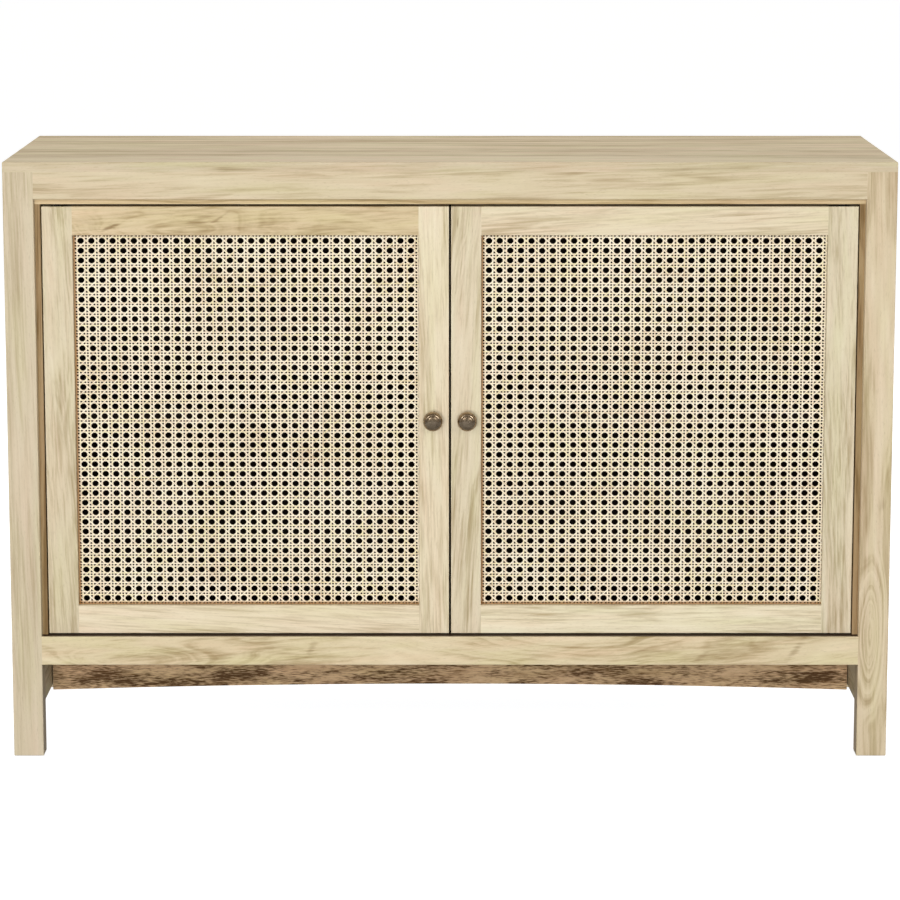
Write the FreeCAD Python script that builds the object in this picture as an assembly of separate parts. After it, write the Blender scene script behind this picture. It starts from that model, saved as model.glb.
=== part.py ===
"""A two-door cabinet for records, in solid mango wood with woven cane door panels.

It stands with its feet on z = 0. Its doors face -Y and +X is to the right of someone who
faces them. Lengths are millimetres. A place from front to back is a depth, measured
backwards from the front faces of the legs. Paired pieces are drawn on the right and
mirrored to the left.
"""

import FreeCAD, Part
import math
import os

Vector = FreeCAD.Vector

# The whole cabinet
overall_width = 1117.6
overall_height = 762.0
case_depth = 406.4

# The frame of legs and rails
top_thickness = 12.7
top_edge_chamfer = 1.0
leg_width = 38.1
leg_depth = 31.75
rail_thickness = 25.4
top_rail_height = 34.2
bottom_rail_height = 37.3
bottom_rail_clearance = 119.3
side_rail_clearance = 66.5
cross_tenon_length = 20.0
side_tenon_length = 9.0
tenon_thickness = 12.0
tenon_shoulder = 5.0
glue_gap = 0.1

# The panels that close the case
side_panel_thickness = 12.7
back_panel_thickness = 6.35
groove_depth = 8.0
floor_thickness = 18.0
board_gap = 0.5

# The arched rail that stiffens the case from below
under_rail_setback = 104.0
under_rail_thickness = 19.0
under_rail_clearance = 62.0
under_rail_arch = 8.0
under_rail_end_gap = 1.5

# The loose shelf and the battens that carry it and the floor
shelf_thickness = 18.0
shelf_clearance = 422.5
shelf_setback = 45.0
shelf_end_gap = 1.0
batten_width = 20.0
batten_height = 18.0
batten_setback = 8.0
batten_end_gap = 24.0

# The glued blocks in the corners
top_block_leg = 45.0
top_block_height = 30.0
base_block_leg = 35.0
base_block_height = 50.0
base_block_drop = 12.0

# The strips that line the door opening
door_recess = 12.7
liner_thickness = 7.0
head_liner_depth = 48.0

# The doors
door_thickness = 20.0
door_top_gap = 3.0
door_bottom_gap = 1.4
door_side_gap = 1.5
door_centre_gap = 2.6
stile_width = 38.1
door_rail_width = 36.5
door_tenon_length = 25.0
door_tenon_thickness = 8.0
door_tenon_shoulder = 6.0
tenon_rebate_gap = 0.2
door_lip = 8.0
rebate_width = 8.0
bead_gap = 0.15

# The woven cane
strand_width = 2.2
strand_thickness = 0.45
strand_layer_gap = 0.05
strand_layers = 4
pair_spacing = 4.1
cane_pitch_across = 13.4
cane_pitch_up = 12.4
cane_edge_gap = 0.5
cane_border_width = 5.5

# The pivot hinges at the top and bottom of each door
pivot_inset = 20.0
pivot_recess = 6.0
pin_radius = 2.5
pin_clearance = 0.05
pin_end_gap = 0.2
pad_length = 9.0
pad_play = 0.4
leaf_thickness = 2.5
leaf_width = 9.0
leaf_inner_length = 17.0
leaf_outer_length = 9.0

# The knobs and their screws
knob_inset = 20.3
knob_rise = 3.0
knob_length = 23.5
knob_radius = 12.4
knob_foot_radius = 7.0
knob_waist_length = 8.0
knob_shoulder_radius = 4.0
knob_dome_rise = 1.5
screw_radius = 2.0
screw_head_radius = 4.5
screw_head_height = 2.5
screw_bite = 9.0
screw_clearance = 0.25
screw_thread_gap = 0.05
screw_tip_gap = 0.2

# The magnetic catches under the head of the opening
catch_inset = 24.0
catch_width = 40.0
catch_height = 14.0
catch_depth = 16.0
magnet_width = 24.0
magnet_height = 8.0
magnet_depth = 10.0
strike_width = 28.0
strike_height = 11.0
strike_thickness = 1.5
strike_drop = 1.5
magnet_gap = 0.2

# Levels, from the floor up
sill_level = bottom_rail_clearance + bottom_rail_height
underside_of_top = overall_height - top_thickness
top_rail_level = underside_of_top - top_rail_height
head_level = top_rail_level - liner_thickness
floor_underside = sill_level - floor_thickness
door_bottom = sill_level + door_bottom_gap
door_top = head_level - door_top_gap
cane_bottom = door_bottom + door_rail_width
cane_top = door_top - door_rail_width
knob_level = (door_bottom + door_top) / 2 + knob_rise

# Places across, to the right of the middle
leg_inner = overall_width / 2 - leg_width
panel_inner = leg_inner + (rail_thickness - side_panel_thickness) / 2
liner_inner = leg_inner - liner_thickness
door_inner = door_centre_gap / 2
door_outer = liner_inner - door_side_gap
cane_inner = door_inner + stile_width
cane_outer = door_outer - stile_width
knob_place = door_inner + knob_inset
pivot_place = door_outer - pivot_inset

# Depths behind the front faces of the legs
knob_reach = max(knob_length - door_recess, 0.0)
front_y = knob_reach - (case_depth + knob_reach) / 2
back_leg_front = case_depth - leg_depth
back_rail_front = case_depth - rail_thickness
back_panel_front = case_depth - (rail_thickness + back_panel_thickness) / 2
door_back = door_recess + door_thickness
pivot_depth = door_recess + pivot_recess
cane_front = door_recess + door_lip
layer_pitch = strand_thickness + strand_layer_gap
cane_thickness = strand_layers * layer_pitch + strand_layer_gap


class Block:
    """A squared piece, by its limits across, behind the front faces and up."""

    def __init__(self, across, depth, up):
        self.across = across
        self.depth = depth
        self.up = up

    def solid(self):
        """The piece as a box."""
        corner = Vector(self.across[0], front_y + self.depth[0], self.up[0])
        sizes = [limits[1] - limits[0] for limits in (self.across, self.depth, self.up)]
        return Part.makeBox(*sizes, corner)

    def grown(self, gap):
        """The same piece, larger by the gap on every side: the room cut for it."""
        limits = [(low - gap, high + gap) for low, high in (self.across, self.depth, self.up)]
        return Block(*limits)


def centred(middle, length):
    """Limits of a length about its middle."""
    return (middle - length / 2, middle + length / 2)


def spanning(half):
    """Limits of a piece that reaches as far left as right."""
    return (-half, half)


def joined(first, *others):
    """One solid from pieces that meet, with no seams left on its faces."""
    return first.fuse(list(others)).removeSplitter()


def cut_by(shape, blocks, gap=glue_gap):
    """The shape with a room for each block taken out of it."""
    return shape.cut([block.grown(gap).solid() for block in blocks])


def mirrored(shape):
    """The left-hand twin of a right-hand shape."""
    return shape.mirror(Vector(0, 0, 0), Vector(1, 0, 0))


def prism(outline, bottom, top):
    """An upright prism on an outline of (across, depth) points."""
    points = [Vector(x, front_y + depth, bottom) for x, depth in outline]
    face = Part.Face(Part.makePolygon(points + points[:1]))
    return face.extrude(Vector(0, 0, top - bottom))


def save(name, shape):
    """Write one sub-part to its own file."""
    shape.exportStep(f"parts/{name}.step")


def save_pair(name, shape):
    """Write a right-hand sub-part and its mirrored left-hand twin."""
    save(f"{name}_right", shape)
    save(f"{name}_left", mirrored(shape))


# --- the frame -------------------------------------------------------------------------------


def cross_rail_block(bottom, top, front):
    """The visible length of a rail that runs between two legs."""
    return Block(spanning(leg_inner), (front, front + rail_thickness), (bottom, top))


def cross_tenon_block(rail):
    """The bar through a cross rail whose two ends are its tenons."""
    middle = sum(rail.depth) / 2
    up = (rail.up[0] + tenon_shoulder, rail.up[1] - tenon_shoulder)
    return Block(spanning(leg_inner + cross_tenon_length), centred(middle, tenon_thickness), up)


def side_rail_block(bottom, top):
    """The visible length of the right-hand rail between a front and a back leg."""
    across = (leg_inner, leg_inner + rail_thickness)
    return Block(across, (leg_depth, back_leg_front), (bottom, top))


def side_tenon_block(rail):
    """The bar through a side rail whose two ends are its tenons."""
    middle = sum(rail.across) / 2
    depth = (rail.depth[0] - side_tenon_length, rail.depth[1] + side_tenon_length)
    up = (rail.up[0] + tenon_shoulder, rail.up[1] - tenon_shoulder)
    return Block(centred(middle, tenon_thickness), depth, up)


top_front_rail = cross_rail_block(top_rail_level, underside_of_top, 0.0)
top_back_rail = cross_rail_block(top_rail_level, underside_of_top, back_rail_front)
bottom_front_rail = cross_rail_block(bottom_rail_clearance, sill_level, 0.0)
bottom_back_rail = cross_rail_block(bottom_rail_clearance, sill_level, back_rail_front)
top_side_rail = side_rail_block(top_rail_level, underside_of_top)
bottom_side_rail = side_rail_block(side_rail_clearance, sill_level)

panel_up = (sill_level - groove_depth, top_rail_level + groove_depth)
side_panel = Block((panel_inner, panel_inner + side_panel_thickness),
                   (leg_depth - groove_depth, back_leg_front + groove_depth), panel_up)
back_panel = Block(spanning(leg_inner + groove_depth),
                   (back_panel_front, back_panel_front + back_panel_thickness), panel_up)


def top_board():
    """The top, flush with the legs all round, its upper edges eased."""
    board = Block(spanning(overall_width / 2), (0.0, case_depth),
                  (underside_of_top, overall_height)).solid()
    upper = [edge for edge in board.Edges
             if min(vertex.Z for vertex in edge.Vertexes) > underside_of_top]
    return board.makeChamfer(top_edge_chamfer, upper)


def leg(is_front):
    """A square leg with mortises for its rails and grooves for its panels."""
    depth = (0.0, leg_depth) if is_front else (back_leg_front, case_depth)
    across = (leg_inner, leg_inner + leg_width)
    post = Block(across, depth, (0.0, underside_of_top)).solid()
    cross_rails = (top_front_rail, bottom_front_rail)
    rooms = [side_panel]
    if not is_front:
        cross_rails = (top_back_rail, bottom_back_rail)
        rooms.append(back_panel)
    rooms += [cross_tenon_block(rail) for rail in cross_rails]
    rooms += [side_tenon_block(rail) for rail in (top_side_rail, bottom_side_rail)]
    return cut_by(post, rooms)


def cross_rail(block, rooms=()):
    """A rail between two legs with its tenons, less the rooms for what it holds."""
    rail = joined(block.solid(), cross_tenon_block(block).solid())
    return cut_by(rail, rooms) if rooms else rail


def side_rail(block):
    """A side rail with its tenons and its groove for the side panel."""
    rail = joined(block.solid(), side_tenon_block(block).solid())
    return cut_by(rail, [side_panel])


def under_rail():
    """The rail under the floor, set back, with its lower edge cut to a shallow arch."""
    half = leg_inner - under_rail_end_gap
    front = front_y + under_rail_setback
    foot = under_rail_clearance
    left_foot = Vector(-half, front, foot)
    right_foot = Vector(half, front, foot)
    left_head = Vector(-half, front, floor_underside)
    right_head = Vector(half, front, floor_underside)
    arch = Part.Arc(left_foot, Vector(0, front, foot + under_rail_arch), right_foot).toShape()
    sides = Part.makePolygon([right_foot, right_head, left_head, left_foot])
    face = Part.Face(Part.Wire([arch] + sides.Edges))
    return face.extrude(Vector(0, under_rail_thickness, 0))


def corner_block(front, leg_length, bottom, top, backwards=1):
    """A triangular block glued into the right-hand corner that starts at a depth."""
    corner = (leg_inner, front)
    along = (leg_inner - leg_length, front)
    behind = (leg_inner, front + backwards * leg_length)
    outline = [corner, along, behind] if backwards > 0 else [corner, behind, along]
    return prism(outline, bottom, top)


def top_corner_blocks():
    """Four blocks that hold the top to the rails."""
    bottom = underside_of_top - top_block_height
    front = corner_block(rail_thickness, top_block_leg, bottom, underside_of_top)
    back = corner_block(back_rail_front, top_block_leg, bottom, underside_of_top, -1)
    return Part.makeCompound([front, back, mirrored(front), mirrored(back)])


def base_corner_blocks():
    """Two blocks that tie the ends of the arched rail to the side rails."""
    top = floor_underside - base_block_drop
    block = corner_block(under_rail_setback + under_rail_thickness, base_block_leg,
                         top - base_block_height, top)
    return Part.makeCompound([block, mirrored(block)])


def make_frame():
    """The top, the legs, the rails and the blocks that tie them together."""
    save("top_board", top_board())
    save_pair("leg_front", leg(True))
    save_pair("leg_back", leg(False))
    save("top_rail_front", cross_rail(top_front_rail))
    save("top_rail_back", cross_rail(top_back_rail, [back_panel]))
    save("bottom_rail_front", cut_by_leaves(cross_rail(bottom_front_rail), bottom_case_leaf()))
    save("bottom_rail_back", cross_rail(bottom_back_rail, [back_panel]))
    save_pair("top_rail_side", side_rail(top_side_rail))
    save_pair("bottom_rail_side", side_rail(bottom_side_rail))
    save("under_rail", under_rail())
    save("top_corner_blocks", top_corner_blocks())
    save("base_corner_blocks", base_corner_blocks())


# --- the panels, the shelf and the linings -----------------------------------------------------


def floor_batten(front):
    """A batten across the case, under one edge of the floor."""
    return Block(spanning(leg_inner - batten_end_gap), (front, front + batten_width),
                 (floor_underside - batten_height, floor_underside)).solid()


def shelf_batten():
    """The batten on the right-hand side panel that one end of the shelf rests on."""
    depth = (shelf_setback + batten_setback, back_leg_front - batten_setback)
    return Block((panel_inner - batten_width, panel_inner), depth,
                 (shelf_clearance - batten_height, shelf_clearance)).solid()


def shelf():
    """The shelf, which lies loose on its battens between the back legs."""
    return Block(spanning(leg_inner - shelf_end_gap),
                 (shelf_setback, back_panel_front - board_gap),
                 (shelf_clearance, shelf_clearance + shelf_thickness)).solid()


def case_floor():
    """The floor of the case, level with the top of the bottom front rail."""
    return Block(spanning(leg_inner), (rail_thickness, back_rail_front),
                 (floor_underside, sill_level)).solid()


def head_liner():
    """The strip under the top rail, with a bed for the upper leaf of each hinge."""
    strip = Block(spanning(leg_inner), (door_recess, door_recess + head_liner_depth),
                  (head_level, top_rail_level)).solid()
    return cut_by_leaves(strip, top_case_leaf())


def side_liner():
    """The strip down the inner face of the right front leg."""
    return Block((liner_inner, leg_inner), (door_recess, leg_depth),
                 (sill_level, head_level)).solid()


def make_panels():
    """The boards that close the case, what lies inside it and what lines its opening."""
    save_pair("side_panel", side_panel.solid())
    save("back_panel", back_panel.solid())
    save("floor_board", case_floor())
    save("floor_batten_front", floor_batten(rail_thickness))
    save("floor_batten_back", floor_batten(back_rail_front - batten_width))
    save("shelf", shelf())
    save_pair("shelf_batten", shelf_batten())
    save("head_liner", head_liner())
    save_pair("side_liner", side_liner())


# --- the pivot hinges ---------------------------------------------------------------------------


def leaf_block(bottom):
    """A hinge leaf as a plain plate, lengthways about the pivot."""
    across = (pivot_place - leaf_inner_length, pivot_place + leaf_outer_length)
    return Block(across, centred(pivot_depth, leaf_width), (bottom, bottom + leaf_thickness))


def bottom_case_leaf():
    """The plate let into the bottom rail."""
    return leaf_block(sill_level - leaf_thickness)


def top_case_leaf():
    """The plate let into the head liner."""
    return leaf_block(head_level)


def bottom_door_leaf():
    """The plate let into the foot of the door."""
    return leaf_block(door_bottom)


def top_door_leaf():
    """The plate let into the head of the door."""
    return leaf_block(door_top - leaf_thickness)


def cut_by_leaves(shape, leaf):
    """The shape with a bed for a hinge leaf at each end."""
    bed = leaf.grown(glue_gap).solid()
    return shape.cut([bed, mirrored(bed)])


def rod(radius, bottom, top):
    """An upright round rod on the pivot's axis."""
    foot = Vector(pivot_place, front_y + pivot_depth, bottom)
    return Part.makeCylinder(radius, top - bottom, foot)


def pad(bottom, top):
    """The raised pad round a pin, as wide as the leaf."""
    return Block(centred(pivot_place, pad_length), centred(pivot_depth, leaf_width),
                 (bottom, top)).solid()


def case_leaves():
    """The two pinned leaves of the right-hand door, which turns on the lower pad."""
    lower = joined(bottom_case_leaf().solid(), pad(sill_level, door_bottom),
                   rod(pin_radius, door_bottom, door_bottom + leaf_thickness - pin_end_gap))
    pad_foot = door_top + pad_play
    upper = joined(top_case_leaf().solid(), pad(pad_foot, head_level),
                   rod(pin_radius, door_top - leaf_thickness + pin_end_gap, pad_foot))
    return [lower, upper]


def door_leaves():
    """The two drilled leaves of the right-hand door."""
    hole = rod(pin_radius + pin_clearance, door_bottom - leaf_thickness, door_top + leaf_thickness)
    return [leaf.solid().cut(hole) for leaf in (bottom_door_leaf(), top_door_leaf())]


def make_hinges():
    """The leaves fixed to the case and those fixed to each door."""
    leaves = case_leaves()
    save("hinge_leaves_case", Part.makeCompound(leaves + [mirrored(leaf) for leaf in leaves]))
    save_pair("hinge_leaves_door", Part.makeCompound(door_leaves()))


# --- the doors ------------------------------------------------------------------------------------

rebate = Block((cane_inner - rebate_width, cane_outer + rebate_width),
               (cane_front, door_back),
               (cane_bottom - rebate_width, cane_top + rebate_width))


def door_rail_block(bottom):
    """The visible length of a door rail."""
    return Block((cane_inner, cane_outer), (door_recess, door_back),
                 (bottom, bottom + door_rail_width))


def door_tenon_block(rail):
    """The bar through a door rail whose two ends are its tenons, clear of the rebate."""
    across = (cane_inner - door_tenon_length, cane_outer + door_tenon_length)
    shoulder = door_recess + door_tenon_shoulder
    depth = (shoulder, shoulder + door_tenon_thickness)
    if rail.up[0] > knob_level:
        up = (cane_top + rebate_width + tenon_rebate_gap, rail.up[1] - door_tenon_shoulder)
    else:
        up = (rail.up[0] + door_tenon_shoulder, cane_bottom - rebate_width - tenon_rebate_gap)
    return Block(across, depth, up)


bottom_door_rail = door_rail_block(door_bottom)
top_door_rail = door_rail_block(cane_top)


def stile(outer):
    """An upright of the right door, mortised for the rails and rebated for the cane."""
    across = (cane_outer, door_outer) if outer else (door_inner, cane_inner)
    post = Block(across, (door_recess, door_back), (door_bottom, door_top)).solid()
    rooms = [door_tenon_block(rail) for rail in (bottom_door_rail, top_door_rail)]
    if outer:
        rooms += [bottom_door_leaf(), top_door_leaf()]
    return cut_by(post, rooms).cut(rebate.solid())


def meeting_stile():
    """The upright at the middle of the cabinet, drilled for the knob's screw."""
    foot = Vector(knob_place, front_y + door_recess, knob_level)
    hole = Part.makeCylinder(screw_radius + screw_clearance, door_thickness, foot, Vector(0, 1, 0))
    return stile(False).cut(hole)


def door_rail(block):
    """A rail of the right door with its tenons and the rebate along its inner edge."""
    return joined(block.solid(), door_tenon_block(block).solid()).cut(rebate.solid())


def bead_ring(distance):
    """Corners of a rectangle round the cane opening, a distance outside its edge."""
    left = cane_inner - distance
    right = cane_outer + distance
    bottom = cane_bottom - distance
    top = cane_top + distance
    return [(left, bottom), (right, bottom), (right, top), (left, top)]


def cane_beads():
    """Four mitred beads that hold the cane panel in its rebate from behind."""
    depth = cane_front + cane_thickness + bead_gap
    outer = bead_ring(rebate_width - bead_gap)
    inner = bead_ring(0.0)
    corners = len(outer)
    beads = []
    for corner in range(corners):
        following = (corner + 1) % corners
        outline = [outer[corner], outer[following], inner[following], inner[corner]]
        points = [Vector(x, front_y + depth, z) for x, z in outline]
        face = Part.Face(Part.makePolygon(points + points[:1]))
        beads.append(face.extrude(Vector(0, door_back - depth, 0)))
    return Part.makeCompound(beads)


# --- the woven cane ---------------------------------------------------------------------------------


def line_places(length, pitch):
    """Places of the pair lines along a length, even about its middle.

    The outermost pair stays whole, inside the border of the panel.
    """
    pair_width = pair_spacing + strand_width
    steps = int((length - pair_width) / pitch)
    return [(step - steps / 2) * pitch for step in range(steps + 1)]


def strand(length, layer_front, angle, across, up):
    """A strip of cane with a flat back and a raised middle, turned about its own middle."""
    back = front_y + layer_front + strand_thickness
    crown = Vector(-length / 2, back - strand_thickness, 0)
    edges = [Vector(-length / 2, back, side * strand_width / 2) for side in (-1, 1)]
    section = Part.Face(Part.makePolygon([crown, edges[0], edges[1], crown]))
    strip = section.extrude(Vector(length, 0, 0))
    strip.rotate(Vector(0, 0, 0), Vector(0, 1, 0), -angle)
    strip.translate(Vector(across, 0, up))
    return strip


def upright_strands(columns, layer_front, length):
    """Two upright strands on every column line."""
    return [strand(length, layer_front, 90, column + side * pair_spacing / 2, 0)
            for column in columns for side in (-1, 1)]


def level_strands(rows, layer_front, length):
    """Two level strands on every row line."""
    return [strand(length, layer_front, 0, 0, row + side * pair_spacing / 2)
            for row in rows for side in (-1, 1)]


def slanting_strands(columns, rows, layer_front, window, direction):
    """The slanting strands of one direction, each through the middle of the mesh sides.

    They miss the middle of every square between the pairs, which leaves an eight-sided
    hole there, and cross each other half-way between two holes.
    """
    angle = direction * math.degrees(math.atan2(cane_pitch_up, cane_pitch_across))
    length = 2 * math.hypot(columns[-1] + cane_pitch_across, rows[-1] + cane_pitch_up)
    half_mesh = 0.5
    first = columns[0] / cane_pitch_across - rows[-1] / cane_pitch_up + half_mesh
    strands = []
    for step in range(len(columns) + len(rows) - 2):
        strip = strand(length, layer_front, angle, 0, (first + step) * cane_pitch_up)
        strands += strip.common(window).Solids
    return strands


def cane_panel():
    """The woven panel of the right door, one solid that its border ties together.

    Upright pairs, level pairs and two slanting sets lie in four thin layers. Each strand
    is whole and runs from border to border. Only the border joins the layers.
    """
    across_middle = (cane_inner + cane_outer) / 2
    up_middle = (cane_bottom + cane_top) / 2
    outer_half_width = (cane_outer - cane_inner) / 2 + rebate_width - cane_edge_gap
    outer_half_height = (cane_top - cane_bottom) / 2 + rebate_width - cane_edge_gap
    inner_half_width = outer_half_width - cane_border_width
    inner_half_height = outer_half_height - cane_border_width
    sheet = (cane_front, cane_front + cane_thickness)
    border = Block(spanning(outer_half_width), sheet, spanning(outer_half_height)).solid()
    border = border.cut(Block(spanning(inner_half_width), sheet, spanning(inner_half_height)).solid())

    # Every strand ends half-way through the border.
    end_width = (outer_half_width + inner_half_width) / 2
    end_height = (outer_half_height + inner_half_height) / 2
    window = Block(spanning(end_width), sheet, spanning(end_height)).solid()
    layers = [cane_front + strand_layer_gap + index * layer_pitch for index in range(strand_layers)]
    columns = line_places(2 * inner_half_width, cane_pitch_across)
    rows = line_places(2 * inner_half_height, cane_pitch_up)
    strands = upright_strands(columns, layers[0], 2 * end_height)
    strands += level_strands(rows, layers[1], 2 * end_width)
    strands += slanting_strands(columns, rows, layers[2], window, 1)
    strands += slanting_strands(columns, rows, layers[3], window, -1)
    panel = border.fuse(strands)
    panel.translate(Vector(across_middle, 0, up_middle))
    return panel.Solids[0]


# --- the knobs ------------------------------------------------------------------------------------


def turned(points_and_arcs, level):
    """A solid turned about the knob's axis.

    Each step is a (radius, reach) point, or a pair of them for an arc through the first
    to the second. Reach runs forwards from the face of the door.
    """
    face_y = front_y + door_recess

    def place(point):
        return Vector(knob_place + point[0], face_y - point[1], level)

    edges = []
    start = place(points_and_arcs[0])
    for step in points_and_arcs[1:]:
        if isinstance(step[0], tuple):
            end = place(step[1])
            edges.append(Part.Arc(start, place(step[0]), end).toShape())
        else:
            end = place(step)
            edges.append(Part.makeLine(start, end))
        start = end
    edges.append(Part.makeLine(start, place(points_and_arcs[0])))
    face = Part.Face(Part.Wire(edges))
    return face.revolve(Vector(knob_place, 0, level), Vector(0, 1, 0), 360)


def knob():
    """The cast knob: a waist, a short drum with a rounded shoulder and a low dome."""
    face_reach = knob_length - knob_dome_rise
    drum_end = face_reach - knob_shoulder_radius
    face_radius = knob_radius - knob_shoulder_radius
    bulge = knob_shoulder_radius * math.sin(math.pi / 4)
    shoulder = ((face_radius + bulge, drum_end + bulge), (face_radius, face_reach))
    dome_sphere = (face_radius ** 2 + knob_dome_rise ** 2) / (2 * knob_dome_rise)
    half_way = face_radius / 2
    half_rise = math.sqrt(dome_sphere ** 2 - half_way ** 2) - (dome_sphere - knob_dome_rise)
    dome = ((half_way, face_reach + half_rise), (0.0, knob_length))
    outline = [(0.0, 0.0), (knob_foot_radius, 0.0), (knob_radius, knob_waist_length),
               (knob_radius, drum_end), shoulder, dome]
    foot = Vector(knob_place, front_y + door_recess, knob_level)
    bore = Part.makeCylinder(screw_radius + screw_thread_gap, screw_bite + screw_tip_gap, foot,
                             Vector(0, -1, 0))
    return turned(outline, knob_level).cut(bore)


def knob_screw():
    """The screw that holds the knob, with its head behind the stile."""
    head_outline = [(0.0, screw_bite), (screw_radius, screw_bite),
                    (screw_radius, -door_thickness), (screw_head_radius, -door_thickness),
                    (screw_head_radius / 2, -door_thickness - screw_head_height),
                    (0.0, -door_thickness - screw_head_height)]
    return turned(head_outline, knob_level)


def make_doors():
    """Both doors, each with its frame, cane, beads, knob and screw."""
    save_pair("hinge_stile", stile(True))
    save_pair("meeting_stile", meeting_stile())
    save_pair("door_rail_bottom", door_rail(bottom_door_rail))
    save_pair("door_rail_top", door_rail(top_door_rail))
    save_pair("cane_panel", cane_panel())
    save_pair("cane_beads", cane_beads())
    save_pair("knob", knob())
    save_pair("knob_screw", knob_screw())


# --- the catches --------------------------------------------------------------------------------

catch_place = door_inner + catch_inset
strike_top = door_top - strike_drop
magnet_front = door_back + strike_thickness + magnet_gap
magnet = Block(centred(catch_place, magnet_width), (magnet_front, magnet_front + magnet_depth),
               centred(head_level - catch_height / 2, magnet_height))


def catch_case():
    """The moulded case of the right-hand catch, open at the front for its magnet."""
    case = Block(centred(catch_place, catch_width), (magnet_front, magnet_front + catch_depth),
                 (head_level - catch_height, head_level)).solid()
    return cut_by(case, [magnet])


def strike_plate():
    """The steel plate on the back of the right door that the magnet holds."""
    return Block(centred(catch_place, strike_width), (door_back, door_back + strike_thickness),
                 (strike_top - strike_height, strike_top)).solid()


def make_catches():
    """Both catches, their magnets and the plates on the doors."""
    case = catch_case()
    bar = magnet.solid()
    save("catch_cases", Part.makeCompound([case, mirrored(case)]))
    save("catch_magnets", Part.makeCompound([bar, mirrored(bar)]))
    save_pair("strike_plate", strike_plate())


os.makedirs("parts", exist_ok=True)
make_frame()
make_panels()
make_hinges()
make_doors()
make_catches()
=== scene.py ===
"""Dresses the record cabinet: pale mango wood, woven cane doors and cast iron knobs.

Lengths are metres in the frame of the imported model: +Z is up, the doors face -Y and the
floor is z = 0. A piece of wood whose edges show is a copy of its solid with those edges
rounded over. The cane is woven again, each strand over and under the ones that it crosses,
and the knobs are turned again with a finer outline. Every other solid is kept and only
gets its finish.
"""

import logging
import math
from dataclasses import dataclass
from enum import Enum
from typing import Any, Protocol, Sequence

import bmesh
import bpy
from mathutils import Euler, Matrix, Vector, noise


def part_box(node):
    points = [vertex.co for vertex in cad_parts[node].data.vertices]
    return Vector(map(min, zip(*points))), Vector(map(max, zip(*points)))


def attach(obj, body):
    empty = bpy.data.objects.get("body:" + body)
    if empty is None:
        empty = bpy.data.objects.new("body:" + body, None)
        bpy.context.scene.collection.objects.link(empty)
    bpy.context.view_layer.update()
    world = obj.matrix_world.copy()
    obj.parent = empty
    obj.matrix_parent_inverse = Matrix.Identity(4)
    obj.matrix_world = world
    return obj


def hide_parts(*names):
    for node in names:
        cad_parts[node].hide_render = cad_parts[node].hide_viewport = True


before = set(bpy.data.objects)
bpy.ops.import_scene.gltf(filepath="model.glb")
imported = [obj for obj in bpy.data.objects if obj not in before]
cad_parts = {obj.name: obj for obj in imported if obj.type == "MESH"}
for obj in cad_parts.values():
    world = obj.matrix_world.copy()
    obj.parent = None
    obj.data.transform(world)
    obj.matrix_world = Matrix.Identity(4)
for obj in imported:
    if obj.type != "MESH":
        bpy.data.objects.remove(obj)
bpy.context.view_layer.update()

LOG = logging.getLogger("record_cabinet")
MM = 0.001
MERGE_DISTANCE = 0.002 * MM
FLAT_ANGLE = math.radians(0.5)
FORWARD = Vector((0.0, -1.0, 0.0))
RIM = "rim"

# Sockets of a Mix node that blends colours.
MIX_SHARE = 0
MIX_FIRST = 6
MIX_SECOND = 7
MIX_COLOUR = 2


class Axis(Enum):
    """A direction that grain runs in, with the turn that lays it along X."""

    ACROSS = (0.0, 0.0, 0.0)
    DEPTH = (0.0, 0.0, -math.pi / 2)
    UP = (0.0, math.pi / 2, 0.0)


class Hand(Enum):
    """The side of the cabinet that a paired piece belongs to."""

    LEFT = -1
    RIGHT = 1

    @property
    def word(self) -> str:
        """The side as the nodes' names have it."""
        return self.name.lower()

    @property
    def door(self) -> str:
        """The body of the door on this side."""
        return f"{self.word}_door"


# --- shader helpers -----------------------------------------------------------------------------


def linear(colour: str, gain: Sequence[float] = (1.0, 1.0, 1.0)) -> tuple[float, ...]:
    """Turn an sRGB colour into linear light, no lighter than white.

    Args:
        colour: Red, green and blue as "#rrggbb".
        gain: How much lighter or darker each of the three gets.

    Returns:
        Linear red, green and blue, and an alpha of one.
    """
    values = []
    for place, share in zip((1, 3, 5), gain):
        value = int(colour[place:place + 2], 16) / 255
        light = value / 12.92 if value <= 0.04045 else ((value + 0.055) / 1.055) ** 2.4
        values.append(min(light * share, 1.0))
    return (*values, 1.0)


def add_node(tree: bpy.types.NodeTree, kind: str, inputs: dict[str | int, Any] | None = None,
             stops: Sequence[tuple[float, Sequence[float]]] = (),
             **settings: Any) -> bpy.types.Node:
    """Add one shader node with its settings, its values and its links.

    Args:
        tree: The tree that the node goes into.
        kind: Blender's name for the kind of node.
        inputs: A value or another node's socket for each input, by its name or number.
        stops: Places and linear colours, for a node that has a colour ramp.
        **settings: The node's own properties.

    Returns:
        The new node.
    """
    node = tree.nodes.new(kind)
    for name, value in settings.items():
        setattr(node, name, value)
    for name, value in (inputs or {}).items():
        if isinstance(value, bpy.types.NodeSocket):
            tree.links.new(value, node.inputs[name])
        else:
            node.inputs[name].default_value = value
    for index, (place, colour) in enumerate(stops):
        elements = node.color_ramp.elements
        element = elements[index] if index < len(elements) else elements.new(place)
        element.position = place
        element.color = colour
    return node


def new_material(name: str) -> tuple[bpy.types.Material, bpy.types.NodeTree, bpy.types.Node]:
    """Start a material with a plain Principled shader.

    Args:
        name: What the real material is and how its surface was made.

    Returns:
        The material, its node tree and its shader node.
    """
    material = bpy.data.materials.new(name)
    material.use_nodes = True
    tree = material.node_tree
    tree.nodes.clear()
    shader = add_node(tree, "ShaderNodeBsdfPrincipled")
    add_node(tree, "ShaderNodeOutputMaterial", {"Surface": shader.outputs["BSDF"]})
    return material, tree, shader


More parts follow.
